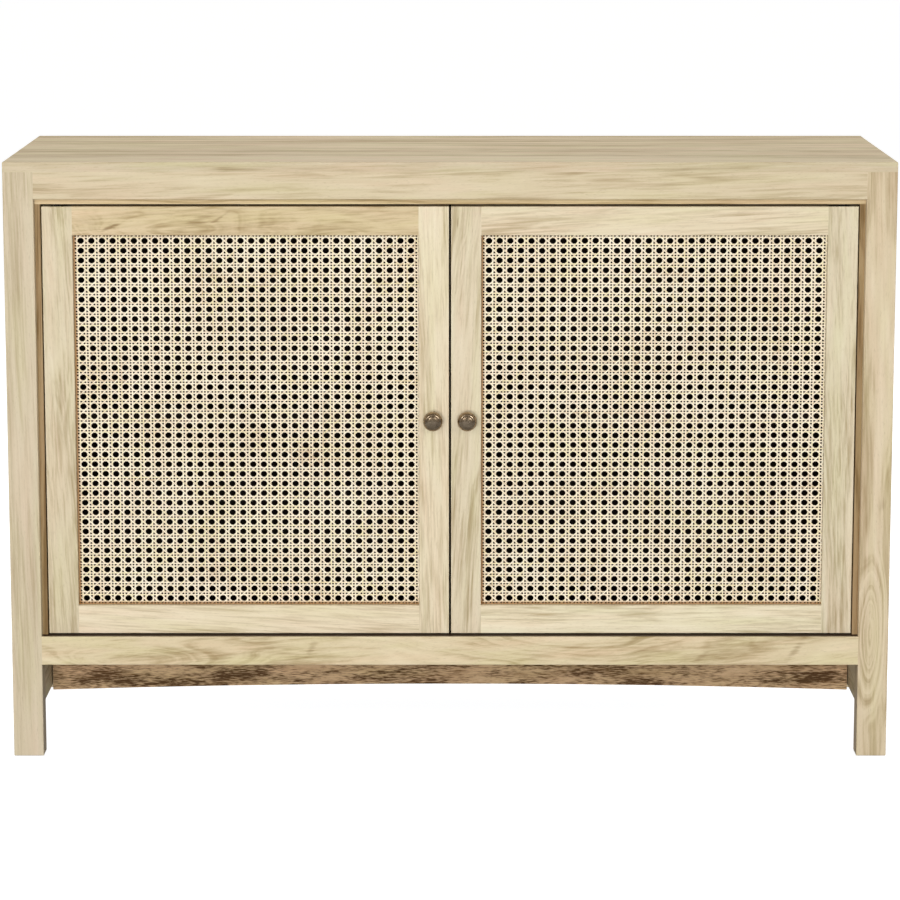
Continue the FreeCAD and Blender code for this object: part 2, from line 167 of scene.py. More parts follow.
def long_spots(tree: bpy.types.NodeTree, point: bpy.types.NodeSocket, length: float,
               width: float, detail: float = 2.0) -> bpy.types.Node:
    """Add a pattern of soft spots that are long in X and narrow in Y and Z.

    Args:
        tree: The tree that the pattern goes into.
        point: The point on the piece, with its grain along X.
        length: The length of a spot.
        width: The width of a spot.
        detail: How many finer layers the pattern has.

    Returns:
        The node whose Fac is the pattern.
    """
    scaled = add_node(tree, "ShaderNodeVectorMath", {
        0: point, 1: (1 / length, 1 / width, 1 / width),
    }, operation="MULTIPLY")
    return add_node(tree, "ShaderNodeTexNoise", {
        "Vector": scaled.outputs["Vector"], "Scale": 1.0, "Detail": detail, "Roughness": 0.55,
    })


def weighted(tree: bpy.types.NodeTree, parts: Sequence[tuple[bpy.types.NodeSocket, float]],
             start: float) -> bpy.types.NodeSocket:
    """Add patterns together, each by its own share.

    Args:
        tree: The tree that the sum goes into.
        parts: Each pattern with its share.
        start: What the sum starts from.

    Returns:
        The sum.
    """
    total: Any = start
    for pattern, share in parts:
        total = add_node(tree, "ShaderNodeMath", {0: pattern, 1: share, 2: total},
                         operation="MULTIPLY_ADD").outputs["Value"]
    return total


def blend(tree: bpy.types.NodeTree, share: Any, first: Any, second: Any,
          way: str = "MIX") -> bpy.types.NodeSocket:
    """Blend two colours.

    Args:
        tree: The tree that the blend goes into.
        share: How much of the second shows.
        first: The first colour.
        second: The second colour.
        way: How the second is laid over the first.

    Returns:
        The blend.
    """
    return add_node(tree, "ShaderNodeMix", {
        MIX_SHARE: share, MIX_FIRST: first, MIX_SECOND: second,
    }, data_type="RGBA", blend_type=way).outputs[MIX_COLOUR]


def relief(tree: bpy.types.NodeTree, shader: bpy.types.Node, height: bpy.types.NodeSocket,
           depth: float, strength: float) -> None:
    """Roughen a surface by a pattern.

    Args:
        tree: The material's nodes.
        shader: Its shader node.
        height: The pattern.
        depth: How deep the pattern goes.
        strength: How much of it shows.
    """
    bump = add_node(tree, "ShaderNodeBump", {
        "Height": height, "Distance": depth, "Strength": strength,
    })
    tree.links.new(bump.outputs["Normal"], shader.inputs["Normal"])


# --- finishes -----------------------------------------------------------------------------------

# The length and width of mango's pores, of its mineral streaks and of its washes of colour.
PORE = (7.0 * MM, 0.8 * MM)
STREAK = (120.0 * MM, 8.0 * MM)
WASH = (190.0 * MM, 20.0 * MM)

# How much red, green and blue its marks have, as shares of the wood's own colour.
PALEST_GRAIN = (1.12, 1.15, 1.22)
PORE_BROWN = (0.42, 0.36, 0.26)
STREAK_BROWN = (0.42, 0.33, 0.22)
FLAME_BROWN = (0.38, 0.29, 0.19)

# The tones at which the wood's colour is darkest, at its middle and palest.
DARKEST_TONE = 0.12
MIDDLE_TONE = 0.5
PALEST_TONE = 0.88


@dataclass(frozen=True)
class Plank:
    """One of the planks that a wide board is glued up from.

    Attributes:
        front: The Y of its front edge.
        tone: How far it is paler than the wood, or darker where it is below zero.
    """

    front: float
    tone: float


@dataclass(frozen=True)
class Stain:
    """Painted shade: a dark colour on the surfaces that lie within a box, where shade falls.

    Attributes:
        low: The box's lowest corner.
        high: Its highest corner.
        colour: The colour of the painted shade.
    """

    low: Vector
    high: Vector
    colour: str = "#18110d"


@dataclass(frozen=True)
class Mark:
    """A small brown flame in the grain, where a twig began.

    Attributes:
        across: Its X.
        up: Its Z.
        length: How long it is.
        width: How wide it is.
        lean: How far it leans up from X.
        share: How dark it is at its middle.
    """

    across: float
    up: float
    length: float
    width: float
    lean: float
    share: float


@dataclass(frozen=True)
class Eye:
    """A swelling in the log, where the growth rings close into ovals.

    Attributes:
        centre: The middle of the ovals.
        reach: How far they go in X, in Y and in Z.
        rings: How many rings the swelling adds at its middle.
    """

    centre: tuple[float, float, float]
    reach: tuple[float, float, float]
    rings: float


@dataclass(frozen=True)
class MangoWood:
    """Solid mango wood, planed, sanded and given a thin matt lacquer.

    Mango sapwood is straw-coloured. Its growth rings are faint and uneven, brown to olive,
    its pores are short dark ticks along the grain, and the lacquer leaves a soft sheen.
    The pattern is cut from a solid log, so it agrees round every edge of the piece.

    Attributes:
        name: The wood, the piece and its surface.
        grain: The way that the grain runs.
        seed: Sets one log apart from the next.
        colour: The wood's middle colour.
        figure: How strong the growth rings are.
        clouds: How strong the wide soft patches are.
        fibres: How strong the fine streaks are.
        streaks: How dark the brown mineral streaks are.
        wash: How much olive and rose the wood has.
        darkest: How much red, green and blue are left in the darkest grain.
        ring_width: The width of a growth ring.
        patch: The length and width of a soft patch.
        fibre: The length and width of a fine streak.
        heart: How far the log's heart is from the middle of the piece, both ways.
        slope: How far the log leans from the piece.
        roughness: The middle roughness of the surface.
        gloss: How much the surface reflects, which is little where it is bare or carries painted
            shade.
        planks: The planks, from front to back, where their tones differ from the wood's.
        marks: The brown flames.
        eyes: The places where the rings close into ovals.
        painted_shades: The parts with painted shade.
    """

    name: str
    grain: Axis
    seed: float
    colour: str = "#e0d1af"
    figure: float = 0.75
    clouds: float = 0.85
    fibres: float = 0.9
    streaks: float = 0.0
    wash: float = 0.5
    darkest: tuple[float, float, float] = (0.60, 0.54, 0.43)
    ring_width: float = 7.0 * MM
    patch: tuple[float, float] = (260.0 * MM, 30.0 * MM)
    fibre: tuple[float, float] = (70.0 * MM, 2.6 * MM)
    heart: tuple[float, float] = (70.0 * MM, 24.0 * MM)
    slope: float = 0.03
    roughness: float = 0.52
    gloss: float = 0.4
    planks: tuple[Plank, ...] = ()
    marks: tuple[Mark, ...] = ()
    eyes: tuple[Eye, ...] = ()
    painted_shades: tuple[Stain, ...] = ()

    def material(self, centre: Vector) -> bpy.types.Material:
        """Build the material for one piece.

        Args:
            centre: The middle of the piece, which places its log.

        Returns:
            The finished material.
        """
        material, tree, shader = new_material(self.name)
        place = add_node(tree, "ShaderNodeTexCoord").outputs["Object"]
        split = add_node(tree, "ShaderNodeSeparateXYZ", {"Vector": place})
        log = self._log(tree, place, split.outputs["Y"], centre)
        clouds = long_spots(tree, log, *self.patch)
        fibres = long_spots(tree, log, *self.fibre, 4.0)
        pores = long_spots(tree, log, *PORE, 1.0)
        bent = self._bent(tree, log, clouds)
        rings = self._rings(tree, bent, place, clouds)
        tone = self._tone(tree, rings, clouds, fibres)
        if self.planks:
            tone = self._plank_tone(tree, split.outputs["Y"], tone)
        colour = add_node(tree, "ShaderNodeValToRGB", {"Fac": tone}, (
            (DARKEST_TONE, linear(self.colour, self.darkest)),
            (MIDDLE_TONE, linear(self.colour)),
            (PALEST_TONE, linear(self.colour, PALEST_GRAIN)),
        )).outputs["Color"]
        colour = self._washed(tree, log, colour)
        if self.streaks:
            colour = self._streaked(tree, bent, colour)
        for mark in self.marks:
            colour = self._marked(tree, place, fibres, colour, mark)
        colour = self._pored(tree, pores, colour)
        # Painted shade: surfaces inside the case, and the ledge under the doors, are darkened
        # where they lie in shade.
        for shade_box in self.painted_shades:
            colour = self._stained(tree, place, colour, shade_box)
        tree.links.new(colour, shader.inputs["Base Color"])

        rougher, smoother = 0.08, 0.06
        sheen = add_node(tree, "ShaderNodeMapRange", {
            "Value": fibres.outputs["Fac"], "From Min": 0.3, "From Max": 0.7,
            "To Min": self.roughness + rougher, "To Max": self.roughness - smoother,
        })
        tree.links.new(sheen.outputs["Result"], shader.inputs["Roughness"])
        shader.inputs["Specular IOR Level"].default_value = self.gloss
        surface = weighted(tree, ((fibres.outputs["Fac"], 0.6), (pores.outputs["Fac"], 0.5)), 0.0)
        grain_depth = 0.4 * MM
        relief(tree, shader, surface, grain_depth, 0.25)
        return material

    def _log(self, tree: bpy.types.NodeTree, place: bpy.types.NodeSocket,
             depth: bpy.types.NodeSocket, centre: Vector) -> bpy.types.NodeSocket:
        """Lay the log's own X along the grain, with its heart beside the piece.

        Args:
            tree: The material's nodes.
            place: The point on the piece.
            depth: The point's Y, which tells one plank from the next.
            centre: The middle of the piece.

        Returns:
            The point as the log has it.
        """
        lean = Euler((self.seed, self.slope, self.slope * math.cos(self.seed))).to_matrix()
        turn = lean @ Euler(self.grain.value).to_matrix()
        heart = Vector((self.seed * 3.7, *self.heart))
        log = add_node(tree, "ShaderNodeMapping", {
            "Vector": place, "Rotation": turn.to_euler(), "Location": heart - turn @ centre,
        }).outputs["Vector"]
        for index, plank in enumerate(self.planks[1:]):
            past = add_node(tree, "ShaderNodeMath", {0: depth, 1: plank.front},
                            operation="GREATER_THAN").outputs["Value"]
            shift = Vector((1.9, 0.043 * (-1) ** index, 0.031 * (index + 1)))
            log = add_node(tree, "ShaderNodeVectorMath", {0: past, 1: shift, 2: log},
                           operation="MULTIPLY_ADD").outputs["Vector"]
        return log

    def _bent(self, tree: bpy.types.NodeTree, log: bpy.types.NodeSocket,
              clouds: bpy.types.Node) -> bpy.types.NodeSocket:
        """Bend the log slowly from side to side, as it grew.

        Args:
            tree: The material's nodes.
            log: The point as the straight log has it.
            clouds: The soft patches, which the bends follow.

        Returns:
            The point as the bent log has it.
        """
        bend = 0.9 * self.patch[1]
        return add_node(tree, "ShaderNodeVectorMath", {
            0: clouds.outputs["Color"], 1: (0.0, bend, bend), 2: log,
        }, operation="MULTIPLY_ADD").outputs["Vector"]

    def _rings(self, tree: bpy.types.NodeTree, bent: bpy.types.NodeSocket,
               place: bpy.types.NodeSocket, clouds: bpy.types.Node) -> bpy.types.NodeSocket:
        """Growth rings of uneven width about the log's heart, closed into ovals at each eye.

        Args:
            tree: The material's nodes.
            bent: The point as the bent log has it.
            place: The point on the piece.
            clouds: The soft patches, which make the ovals uneven.

        Returns:
            The rings, light and dark about a half.
        """
        across = add_node(tree, "ShaderNodeVectorMath", {
            0: bent, 1: (0.0, 1 / self.ring_width, 1 / self.ring_width),
        }, operation="MULTIPLY")
        age = add_node(tree, "ShaderNodeVectorMath", {0: across.outputs["Vector"]},
                       operation="LENGTH").outputs["Value"]
        wander = 14.0 * MM
        uneven = add_node(tree, "ShaderNodeVectorMath", {
            0: clouds.outputs["Color"], 1: (wander, wander, wander), 2: place,
        }, operation="MULTIPLY_ADD").outputs["Vector"]
        for eye in self.eyes:
            local = add_node(tree, "ShaderNodeMapping", {
                "Vector": uneven, "Location": eye.centre, "Scale": eye.reach,
            }, vector_type="TEXTURE").outputs["Vector"]
            reach = add_node(tree, "ShaderNodeVectorMath", {0: local},
                             operation="LENGTH").outputs["Value"]
            swelling = add_node(tree, "ShaderNodeMapRange", {
                "Value": reach, "From Min": 0.0, "From Max": 1.0,
                "To Min": eye.rings, "To Max": 0.0,
            }, interpolation_type="SMOOTHSTEP").outputs["Result"]
            age = add_node(tree, "ShaderNodeMath", {0: age, 1: swelling}).outputs["Value"]
        return add_node(tree, "ShaderNodeTexNoise", {
            "W": age, "Scale": 1.0, "Detail": 3.0, "Roughness": 0.6,
        }, noise_dimensions="1D").outputs["Fac"]

    def _tone(self, tree: bpy.types.NodeTree, rings: bpy.types.NodeSocket,
              clouds: bpy.types.Node, fibres: bpy.types.Node) -> bpy.types.NodeSocket:
        """Weigh the growth rings, the soft patches and the fibres about a middle of a half.

        Args:
            tree: The material's nodes.
            rings: The growth rings.
            clouds: The soft patches.
            fibres: The fine streaks.

        Returns:
            The tone, about a half.
        """
        shares = (self.figure, self.clouds, self.fibres)
        patterns = (rings, clouds.outputs["Fac"], fibres.outputs["Fac"])
        return weighted(tree, tuple(zip(patterns, shares)), MIDDLE_TONE - sum(shares) / 2)

    def _plank_tone(self, tree: bpy.types.NodeTree, depth: bpy.types.NodeSocket,
                    tone: bpy.types.NodeSocket) -> bpy.types.NodeSocket:
        """Give each plank its own tone, with a thin dark line at each glued seam.

        Args:
            tree: The material's nodes.
            depth: The point's Y.
            tone: The wood's tone before the planks are told apart.

        Returns:
            The tone of the point's own plank.
        """
        seam_half_width = 0.6 * MM
        seam_tone = -0.22
        tone = weighted(tree, ((tone, 1.0),), self.planks[0].tone)
        for before, plank in zip(self.planks, self.planks[1:]):
            past = add_node(tree, "ShaderNodeMath", {0: depth, 1: plank.front},
                            operation="GREATER_THAN").outputs["Value"]
            seam = add_node(tree, "ShaderNodeMath", {
                0: depth, 1: plank.front, 2: seam_half_width,
            }, operation="COMPARE").outputs["Value"]
            change = weighted(tree, ((past, plank.tone - before.tone), (seam, seam_tone)), 0.0)
            tone = add_node(tree, "ShaderNodeMath", {0: tone, 1: change}).outputs["Value"]
        return tone

    def _washed(self, tree: bpy.types.NodeTree, log: bpy.types.NodeSocket,
                colour: bpy.types.NodeSocket) -> bpy.types.NodeSocket:
        """Wash the wood with the faint olive and rose that mango has in places.

        Args:
            tree: The material's nodes.
            log: The point as the straight log has it.
            colour: The wood's colour so far.

        Returns:
            The washed colour.
        """
        drift = long_spots(tree, log, *WASH)
        wash = add_node(tree, "ShaderNodeValToRGB", {"Fac": drift.outputs["Fac"]}, (
            (0.3, (0.96, 1.01, 0.88, 1.0)), (0.5, (1.0, 1.0, 1.0, 1.0)),
            (0.7, (1.04, 0.96, 0.97, 1.0)),
        ))
        return blend(tree, self.wash, colour, wash.outputs["Color"], "MULTIPLY")

    def _streaked(self, tree: bpy.types.NodeTree, bent: bpy.types.NodeSocket,
                  colour: bpy.types.NodeSocket) -> bpy.types.NodeSocket:
        """Add the brown mineral streaks of a figured board.

        Args:
            tree: The material's nodes.
            bent: The point as the bent log has it.
            colour: The wood's colour so far.

        Returns:
            The colour with the streaks in it.
        """
        marks = long_spots(tree, bent, *STREAK, 3.0)
        share = add_node(tree, "ShaderNodeMapRange", {
            "Value": marks.outputs["Fac"], "From Min": 0.52, "From Max": 0.74,
            "To Min": 0.0, "To Max": self.streaks,
        })
        return blend(tree, share.outputs["Result"], colour, linear(self.colour, STREAK_BROWN))

    def _marked(self, tree: bpy.types.NodeTree, place: bpy.types.NodeSocket,
                fibres: bpy.types.Node, colour: bpy.types.NodeSocket,
                mark: Mark) -> bpy.types.NodeSocket:
        """Add one brown flame.

        Args:
            tree: The material's nodes.
            place: The point on the piece.
            fibres: The fine streaks, which fray the flame's edge.
            colour: The wood's colour so far.
            mark: The flame.

        Returns:
            The colour with the flame in it.
        """
        depth = 1.0
        local = add_node(tree, "ShaderNodeMapping", {
            "Vector": place, "Location": (mark.across, 0.0, mark.up),
            "Rotation": (0.0, -mark.lean, 0.0),
            "Scale": (mark.length / 2, depth, mark.width / 2),
        }, vector_type="TEXTURE")
        reach = add_node(tree, "ShaderNodeVectorMath", {0: local.outputs["Vector"]},
                         operation="LENGTH").outputs["Value"]
        fray = 2.4
        frayed = weighted(tree, ((fibres.outputs["Fac"], fray), (reach, 1.0)), -fray / 2)
        share = add_node(tree, "ShaderNodeMapRange", {
            "Value": frayed, "From Min": 0.0, "From Max": 1.0,
            "To Min": mark.share, "To Max": 0.0,
        }, interpolation_type="SMOOTHSTEP")
        return blend(tree, share.outputs["Result"], colour, linear(self.colour, FLAME_BROWN))

    def _pored(self, tree: bpy.types.NodeTree, pores: bpy.types.Node,
               colour: bpy.types.NodeSocket) -> bpy.types.NodeSocket:
        """Darken the open pores.

        Args:
            tree: The material's nodes.
            pores: The short ticks where the wood is open.
            colour: The wood's colour so far.

        Returns:
            The colour with the pores in it.
        """
        share = add_node(tree, "ShaderNodeMapRange", {
            "Value": pores.outputs["Fac"], "From Min": 0.6, "From Max": 0.74,
            "To Min": 0.0, "To Max": 0.22,
        })
        return blend(tree, share.outputs["Result"], colour, linear(self.colour, PORE_BROWN))

    def _stained(self, tree: bpy.types.NodeTree, place: bpy.types.NodeSocket,
                 colour: bpy.types.NodeSocket, shade_box: Stain) -> bpy.types.NodeSocket:
        """Paint shade on the surfaces that lie within a box.

        Args:
            tree: The material's nodes.
            place: The point on the piece.
            colour: The wood's colour so far.
            shade_box: The painted shade.

        Returns:
            The colour with the painted shade over it.
        """
        middle = (shade_box.low + shade_box.high) / 2
        local = add_node(tree, "ShaderNodeMapping", {
            "Vector": place, "Location": middle, "Scale": shade_box.high - middle,
        }, vector_type="TEXTURE").outputs["Vector"]
        reach = add_node(tree, "ShaderNodeVectorMath", {0: local}, operation="ABSOLUTE")
        furthest: Any = 0.0
        for axis in add_node(tree, "ShaderNodeSeparateXYZ",
                             {"Vector": reach.outputs["Vector"]}).outputs:
            furthest = add_node(tree, "ShaderNodeMath", {0: axis, 1: furthest},
                                operation="MAXIMUM").outputs["Value"]
        inside = add_node(tree, "ShaderNodeMath", {0: furthest, 1: 1.0}, operation="LESS_THAN")
        return blend(tree, inside.outputs["Value"], colour, linear(shade_box.colour))


@dataclass(frozen=True)
class ShadePaintedPlywood:
    """Plywood for the boards inside the case, coloured dark as painted shade.

    The painted shade leaves it nearly black and matt, with only a trace of the grain.

    Attributes:
        name: The material and its surface.
        dark: The colour of the dark grain.
        light: The colour of the pale grain.
    """

    name: str = "plywood_painted_shade_dark"
    dark: str = "#130e0b"
    light: str = "#291f18"

    def material(self, centre: Vector) -> bpy.types.Material:
        """Build the material, with its grain across the case.

        Args:
            centre: The middle of the piece, which this pattern has no use for.

        Returns:
            The finished material.
        """
        material, tree, shader = new_material(self.name)
        place = add_node(tree, "ShaderNodeTexCoord").outputs["Object"]
        grain = long_spots(tree, place, 160.0 * MM, 4.0 * MM, 3.0)
        colour = add_node(tree, "ShaderNodeValToRGB", {"Fac": grain.outputs["Fac"]}, (
            (0.3, linear(self.dark)), (0.7, linear(self.light)),
        ))
        tree.links.new(colour.outputs["Color"], shader.inputs["Base Color"])
        shader.inputs["Roughness"].default_value = 0.85
        shader.inputs["Specular IOR Level"].default_value = 0.1
        relief(tree, shader, grain.outputs["Fac"], 0.3 * MM, 0.2)
        return material


@dataclass(frozen=True)
class RattanPeel:
    """Rattan skin, split and shaved to flat strands, with its glossy side out.

    The skin is pale straw with a hard natural gloss. No two strands have quite the same
    tone: some are greener and some browner, and each changes slowly along its length.

    Attributes:
        name: The material and the strands that it is for.
        angle: How far the strands lean up from X.
        corner: The X and Z of the opening's lower left corner, from which the painted shadow is
            laid.
        colour: The middle colour.
        rim: The colour of the cut rims: brown wood under the skin, and painted shade round the
            holes.
        edge_shadow: The brown of the painted shadow that the frame's edges cast on the sheet.
        edge_shadow_width: How far in from the opening's edge the painted shadow reaches.
    """

    name: str
    angle: float
    corner: tuple[float, float]
    colour: str = "#fdf0d8"
    rim: str = "#7d5126"
    edge_shadow: str = "#a8773f"
    edge_shadow_width: float = 4.5 * MM

    def material(self, centre: Vector) -> bpy.types.Material:
        """Build the material, with its pattern along the strands.

        Args:
            centre: The middle of the sheet, which this pattern has no use for.

        Returns:
            The finished material.
        """
        material, tree, shader = new_material(self.name)
        place = add_node(tree, "ShaderNodeTexCoord").outputs["Object"]
        along = add_node(tree, "ShaderNodeMapping", {
            "Vector": place, "Rotation": (0.0, self.angle, 0.0),
        }).outputs["Vector"]
        fibres = long_spots(tree, along, 12.0 * MM, 0.35 * MM, 1.0)
        colour = self._toned(tree, place, along, fibres)
        colour = self._greened(tree, along, colour)
        colour = self._rimmed(tree, colour)
        colour = self._glued(tree, place, colour)
        tree.links.new(colour, shader.inputs["Base Color"])
        shader.inputs["Roughness"].default_value = 0.36
        relief(tree, shader, fibres.outputs["Fac"], 0.1 * MM, 0.2)
        return material

    def _toned(self, tree: bpy.types.NodeTree, place: bpy.types.NodeSocket,
               along: bpy.types.NodeSocket, fibres: bpy.types.Node) -> bpy.types.NodeSocket:
        """Give each strand its own tone, which changes along it and over the sheet.

        Args:
            tree: The material's nodes.
            place: The point on the sheet.
            along: The point with the strands along X.
            fibres: The fine fibres of the skin.

        Returns:
            The colour.
        """
        strands = long_spots(tree, along, 110.0 * MM, 1.9 * MM, 1.0)
        regions = long_spots(tree, place, 90.0 * MM, 90.0 * MM, 1.0)
        patterns = ((strands.outputs["Fac"], 1.3), (fibres.outputs["Fac"], 0.4),
                    (regions.outputs["Fac"], 0.5))
        shares = sum(share for pattern, share in patterns)
        tone = weighted(tree, patterns, MIDDLE_TONE - shares / 2)
        brown, white = (0.68, 0.58, 0.44), (1.08, 1.10, 1.14)
        return add_node(tree, "ShaderNodeValToRGB", {"Fac": tone}, (
            (0.08, linear(self.colour, brown)), (0.42, linear(self.colour)),
            (0.85, linear(self.colour, white)),
        )).outputs["Color"]

    def _greened(self, tree: bpy.types.NodeTree, along: bpy.types.NodeSocket,
                 colour: bpy.types.NodeSocket) -> bpy.types.NodeSocket:
        """Leave some stretches of the strands greener than others.

        Args:
            tree: The material's nodes.
            along: The point with the strands along X.
            colour: The colour so far.

        Returns:
            The colour with the green in it.
        """
        green = long_spots(tree, along, 90.0 * MM, 5.0 * MM, 0.0)
        share = add_node(tree, "ShaderNodeMapRange", {
            "Value": green.outputs["Fac"], "From Min": 0.54, "From Max": 0.72,
            "To Min": 0.0, "To Max": 0.6,
        })
        return blend(tree, share.outputs["Result"], colour,
                     linear(self.colour, (0.92, 0.95, 0.70)))

    def _rimmed(self, tree: bpy.types.NodeTree,
                colour: bpy.types.NodeSocket) -> bpy.types.NodeSocket:
        """Brown the cut rims of the strands, partly their own colour and partly painted shade.

        Args:
            tree: The material's nodes.
            colour: The colour so far.

        Returns:
            The colour with the rims in it.
        """
        rim = add_node(tree, "ShaderNodeAttribute", attribute_name=RIM)
        share = add_node(tree, "ShaderNodeMapRange", {
            "Value": rim.outputs["Fac"], "From Min": 0.66, "From Max": 1.0,
            "To Min": 0.0, "To Max": 1.0,
        })
        return blend(tree, share.outputs["Result"], colour, linear(self.rim))

    def _glued(self, tree: bpy.types.NodeTree, place: bpy.types.NodeSocket,
               colour: bpy.types.NodeSocket) -> bpy.types.NodeSocket:
        """Paint a brown shadow on the sheet at the left and at the foot of the opening.

        Args:
            tree: The material's nodes.
            place: The point on the sheet.
            colour: The colour so far.

        Returns:
            The colour with the painted shadow in it.
        """
        split = add_node(tree, "ShaderNodeSeparateXYZ", {"Vector": place})
        for axis, edge in zip("XZ", self.corner):
            share = add_node(tree, "ShaderNodeMapRange", {
                "Value": split.outputs[axis], "From Min": edge + self.edge_shadow_width * 0.4,
                "From Max": edge + self.edge_shadow_width, "To Min": 0.85, "To Max": 0.0,
            })
            colour = blend(tree, share.outputs["Result"], colour, linear(self.edge_shadow))
        return colour


@dataclass(frozen=True)
class AgedIron:
    """Cast iron, tumbled smooth and chemically browned.

    The casting is brown-black with a worn gleam, faintly pitted and a little uneven.

    Attributes:
        name: The material and its surface.
        dark: The colour of the browned metal.
        worn: The colour where it is rubbed.
        roughness: The middle roughness.
    """

    name: str = "cast_iron_browned"
    dark: str = "#86745f"
    worn: str = "#b8a489"
    roughness: float = 0.26

    def material(self, centre: Vector) -> bpy.types.Material:
        """Build the material, the same all round.

        Args:
            centre: The middle of the piece, which this pattern has no use for.

        Returns:
            The finished material.
        """
        material, tree, shader = new_material(self.name)
        place = add_node(tree, "ShaderNodeTexCoord").outputs["Object"]
        patches = long_spots(tree, place, 6.0 * MM, 6.0 * MM, 3.0)
        pits = long_spots(tree, place, 0.7 * MM, 0.7 * MM, 2.0)
        colour = add_node(tree, "ShaderNodeValToRGB", {"Fac": patches.outputs["Fac"]}, (
            (0.25, linear(self.dark)), (0.75, linear(self.worn)),
        ))
        tree.links.new(colour.outputs["Color"], shader.inputs["Base Color"])
        gloss = add_node(tree, "ShaderNodeMapRange", {
            "Value": patches.outputs["Fac"], "From Min": 0.3, "From Max": 0.7,
            "To Min": self.roughness + 0.04, "To Max": self.roughness - 0.04,
        })
        tree.links.new(gloss.outputs["Result"], shader.inputs["Roughness"])
        shader.inputs["Metallic"].default_value = 1.0
        relief(tree, shader, pits.outputs["Fac"], 0.05 * MM, 0.12)
        return material


@dataclass(frozen=True)
class SmallPart:
    """A finish for the small hardware inside: steel, moulded plastic or ferrite.

    Each is one colour with a little cloudiness, and its gloss comes from how it is made.

    Attributes:
        name: The material and its surface.
        dark: The colour of its darkest clouds.
        light: The colour of its palest.
        roughness: Its roughness.
        metallic: One for a metal, and nought for anything else.
        spot: The size of a cloud.
    """

    name: str
    dark: str
    light: str
    roughness: float
    metallic: float = 0.0
    spot: float = 3.0 * MM

    def material(self, centre: Vector) -> bpy.types.Material:
        """Build the material, the same all round.

        Args:
            centre: The middle of the piece, which this pattern has no use for.

        Returns:
            The finished material.
        """
        material, tree, shader = new_material(self.name)
        place = add_node(tree, "ShaderNodeTexCoord").outputs["Object"]
        spots = long_spots(tree, place, self.spot, self.spot, 3.0)
        colour = add_node(tree, "ShaderNodeValToRGB", {"Fac": spots.outputs["Fac"]}, (
            (0.3, linear(self.dark)), (0.7, linear(self.light)),
        ))
        tree.links.new(colour.outputs["Color"], shader.inputs["Base Color"])
        shader.inputs["Roughness"].default_value = self.roughness
        shader.inputs["Metallic"].default_value = self.metallic
        relief(tree, shader, spots.outputs["Fac"], 0.05 * MM, 0.2)
        return material


# --- making pieces ------------------------------------------------------------------------------


def add_piece(name: str, shape: bmesh.types.BMesh, material: bpy.types.Material, body: str,
              stands_for: str) -> bpy.types.Object:
    """Put a finished mesh in the scene in place of a CAD node.

    Args:
        name: The piece's name.
        shape: Its mesh, in the cabinet's frame. It is freed.
        material: Its finish.
        body: The CAD body that it moves with.
        stands_for: The CAD node that it replaces.

    Returns:
        The new object.
    """
    mesh = bpy.data.meshes.new(name)
    shape.to_mesh(mesh)
    shape.free()
    mesh.materials.append(material)
    piece = bpy.data.objects.new(name, mesh)
    bpy.context.scene.collection.objects.link(piece)
    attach(piece, body)
    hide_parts(stands_for)
    LOG.info("%s: %d faces, in place of %s", name, len(mesh.polygons), stands_for)
    return piece


def middle_of(node: str) -> Vector:
    """The middle of a CAD node's box."""
    low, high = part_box(node)
    return (low + high) / 2


class Finish(Protocol):
    """What every finish has: a name, and a way to build its material for one piece."""

    name: str

    def material(self, centre: Vector) -> bpy.types.Material:
        """Build the material for the piece with this middle."""


def material_for(node: str, finish: Finish) -> bpy.types.Material:
    """Find the material of a finish, or build it where no piece has it yet.

    Args:
        node: The CAD node that gets it, or that its piece stands for.
        finish: The finish.

    Returns:
        The material.
    """
    return bpy.data.materials.get(finish.name) or finish.material(middle_of(node))


def finish_node(node: str, finish: Finish) -> None:
    """Give a CAD node its finish and leave its shape alone.

    Args:
        node: The CAD node.
        finish: Its finish.
    """
    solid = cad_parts[node]
    material = material_for(node, finish)
    if not solid.material_slots:
        solid.data.materials.append(material)
    for slot in solid.material_slots:
        slot.material = material
    LOG.info("%s: finished with %s", node, material.name)


@dataclass(frozen=True)
class Line:
    """A straight run along which the edges of a piece are rounded over."""

    start: Vector
    end: Vector

    @property
    def direction(self) -> Vector:
        """The way that the line runs."""
        return (self.end - self.start).normalized()

    def holds(self, point: Vector) -> bool:
        """Tell whether a point is on the line.

        Args:
            point: The point.

        Returns:
            True where it is.
        """
        near = 0.02 * MM
        reach = (point - self.start).dot(self.direction)
        off = (point - self.start - self.direction * reach).length
        return off < near and -near < reach < (self.end - self.start).length + near


@dataclass(frozen=True)
class EasedPiece:
    """A CAD solid copied with some of its long edges rounded over.

    Attributes:
        node: The CAD node.
        body: The body that it belongs to.
        finish: Its wood.
        lines: Where its edges are rounded.
        radius: The width of the rounding on each face.
    """

    node: str
    body: str
    finish: MangoWood
    lines: tuple[Line, ...]
    radius: float = 1.1 * MM

    def build(self) -> bpy.types.Object:
        """Copy the solid, round its edges and put it in place.

        Returns:
            The new object.
        """
        shape = bmesh.new()
        shape.from_mesh(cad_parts[self.node].data)
        bmesh.ops.remove_doubles(shape, verts=shape.verts, dist=MERGE_DISTANCE)
        bmesh.ops.dissolve_limit(shape, angle_limit=FLAT_ANGLE, verts=shape.verts,
                                 edges=shape.edges)
        for line in self.lines:
            for end in (line.start, line.end):
                bmesh.ops.bisect_plane(shape, geom=[*shape.verts, *shape.edges, *shape.faces],
                                       dist=MERGE_DISTANCE, plane_co=end,
                                       plane_no=line.direction)
        edges = [edge for edge in shape.edges
                 if any(all(line.holds(vert.co) for vert in edge.verts) for line in self.lines)]
        made = bmesh.ops.bevel(shape, geom=edges, offset=self.radius, offset_type="OFFSET",
                               segments=3, profile=0.5, affect="EDGES", material=-1)
        for face in made["faces"]:
            face.smooth = True
        bmesh.ops.remove_doubles(shape, verts=shape.verts, dist=MERGE_DISTANCE)
        return add_piece(f"{self.node}_eased", shape, material_for(self.node, self.finish),
                         self.body, self.node)


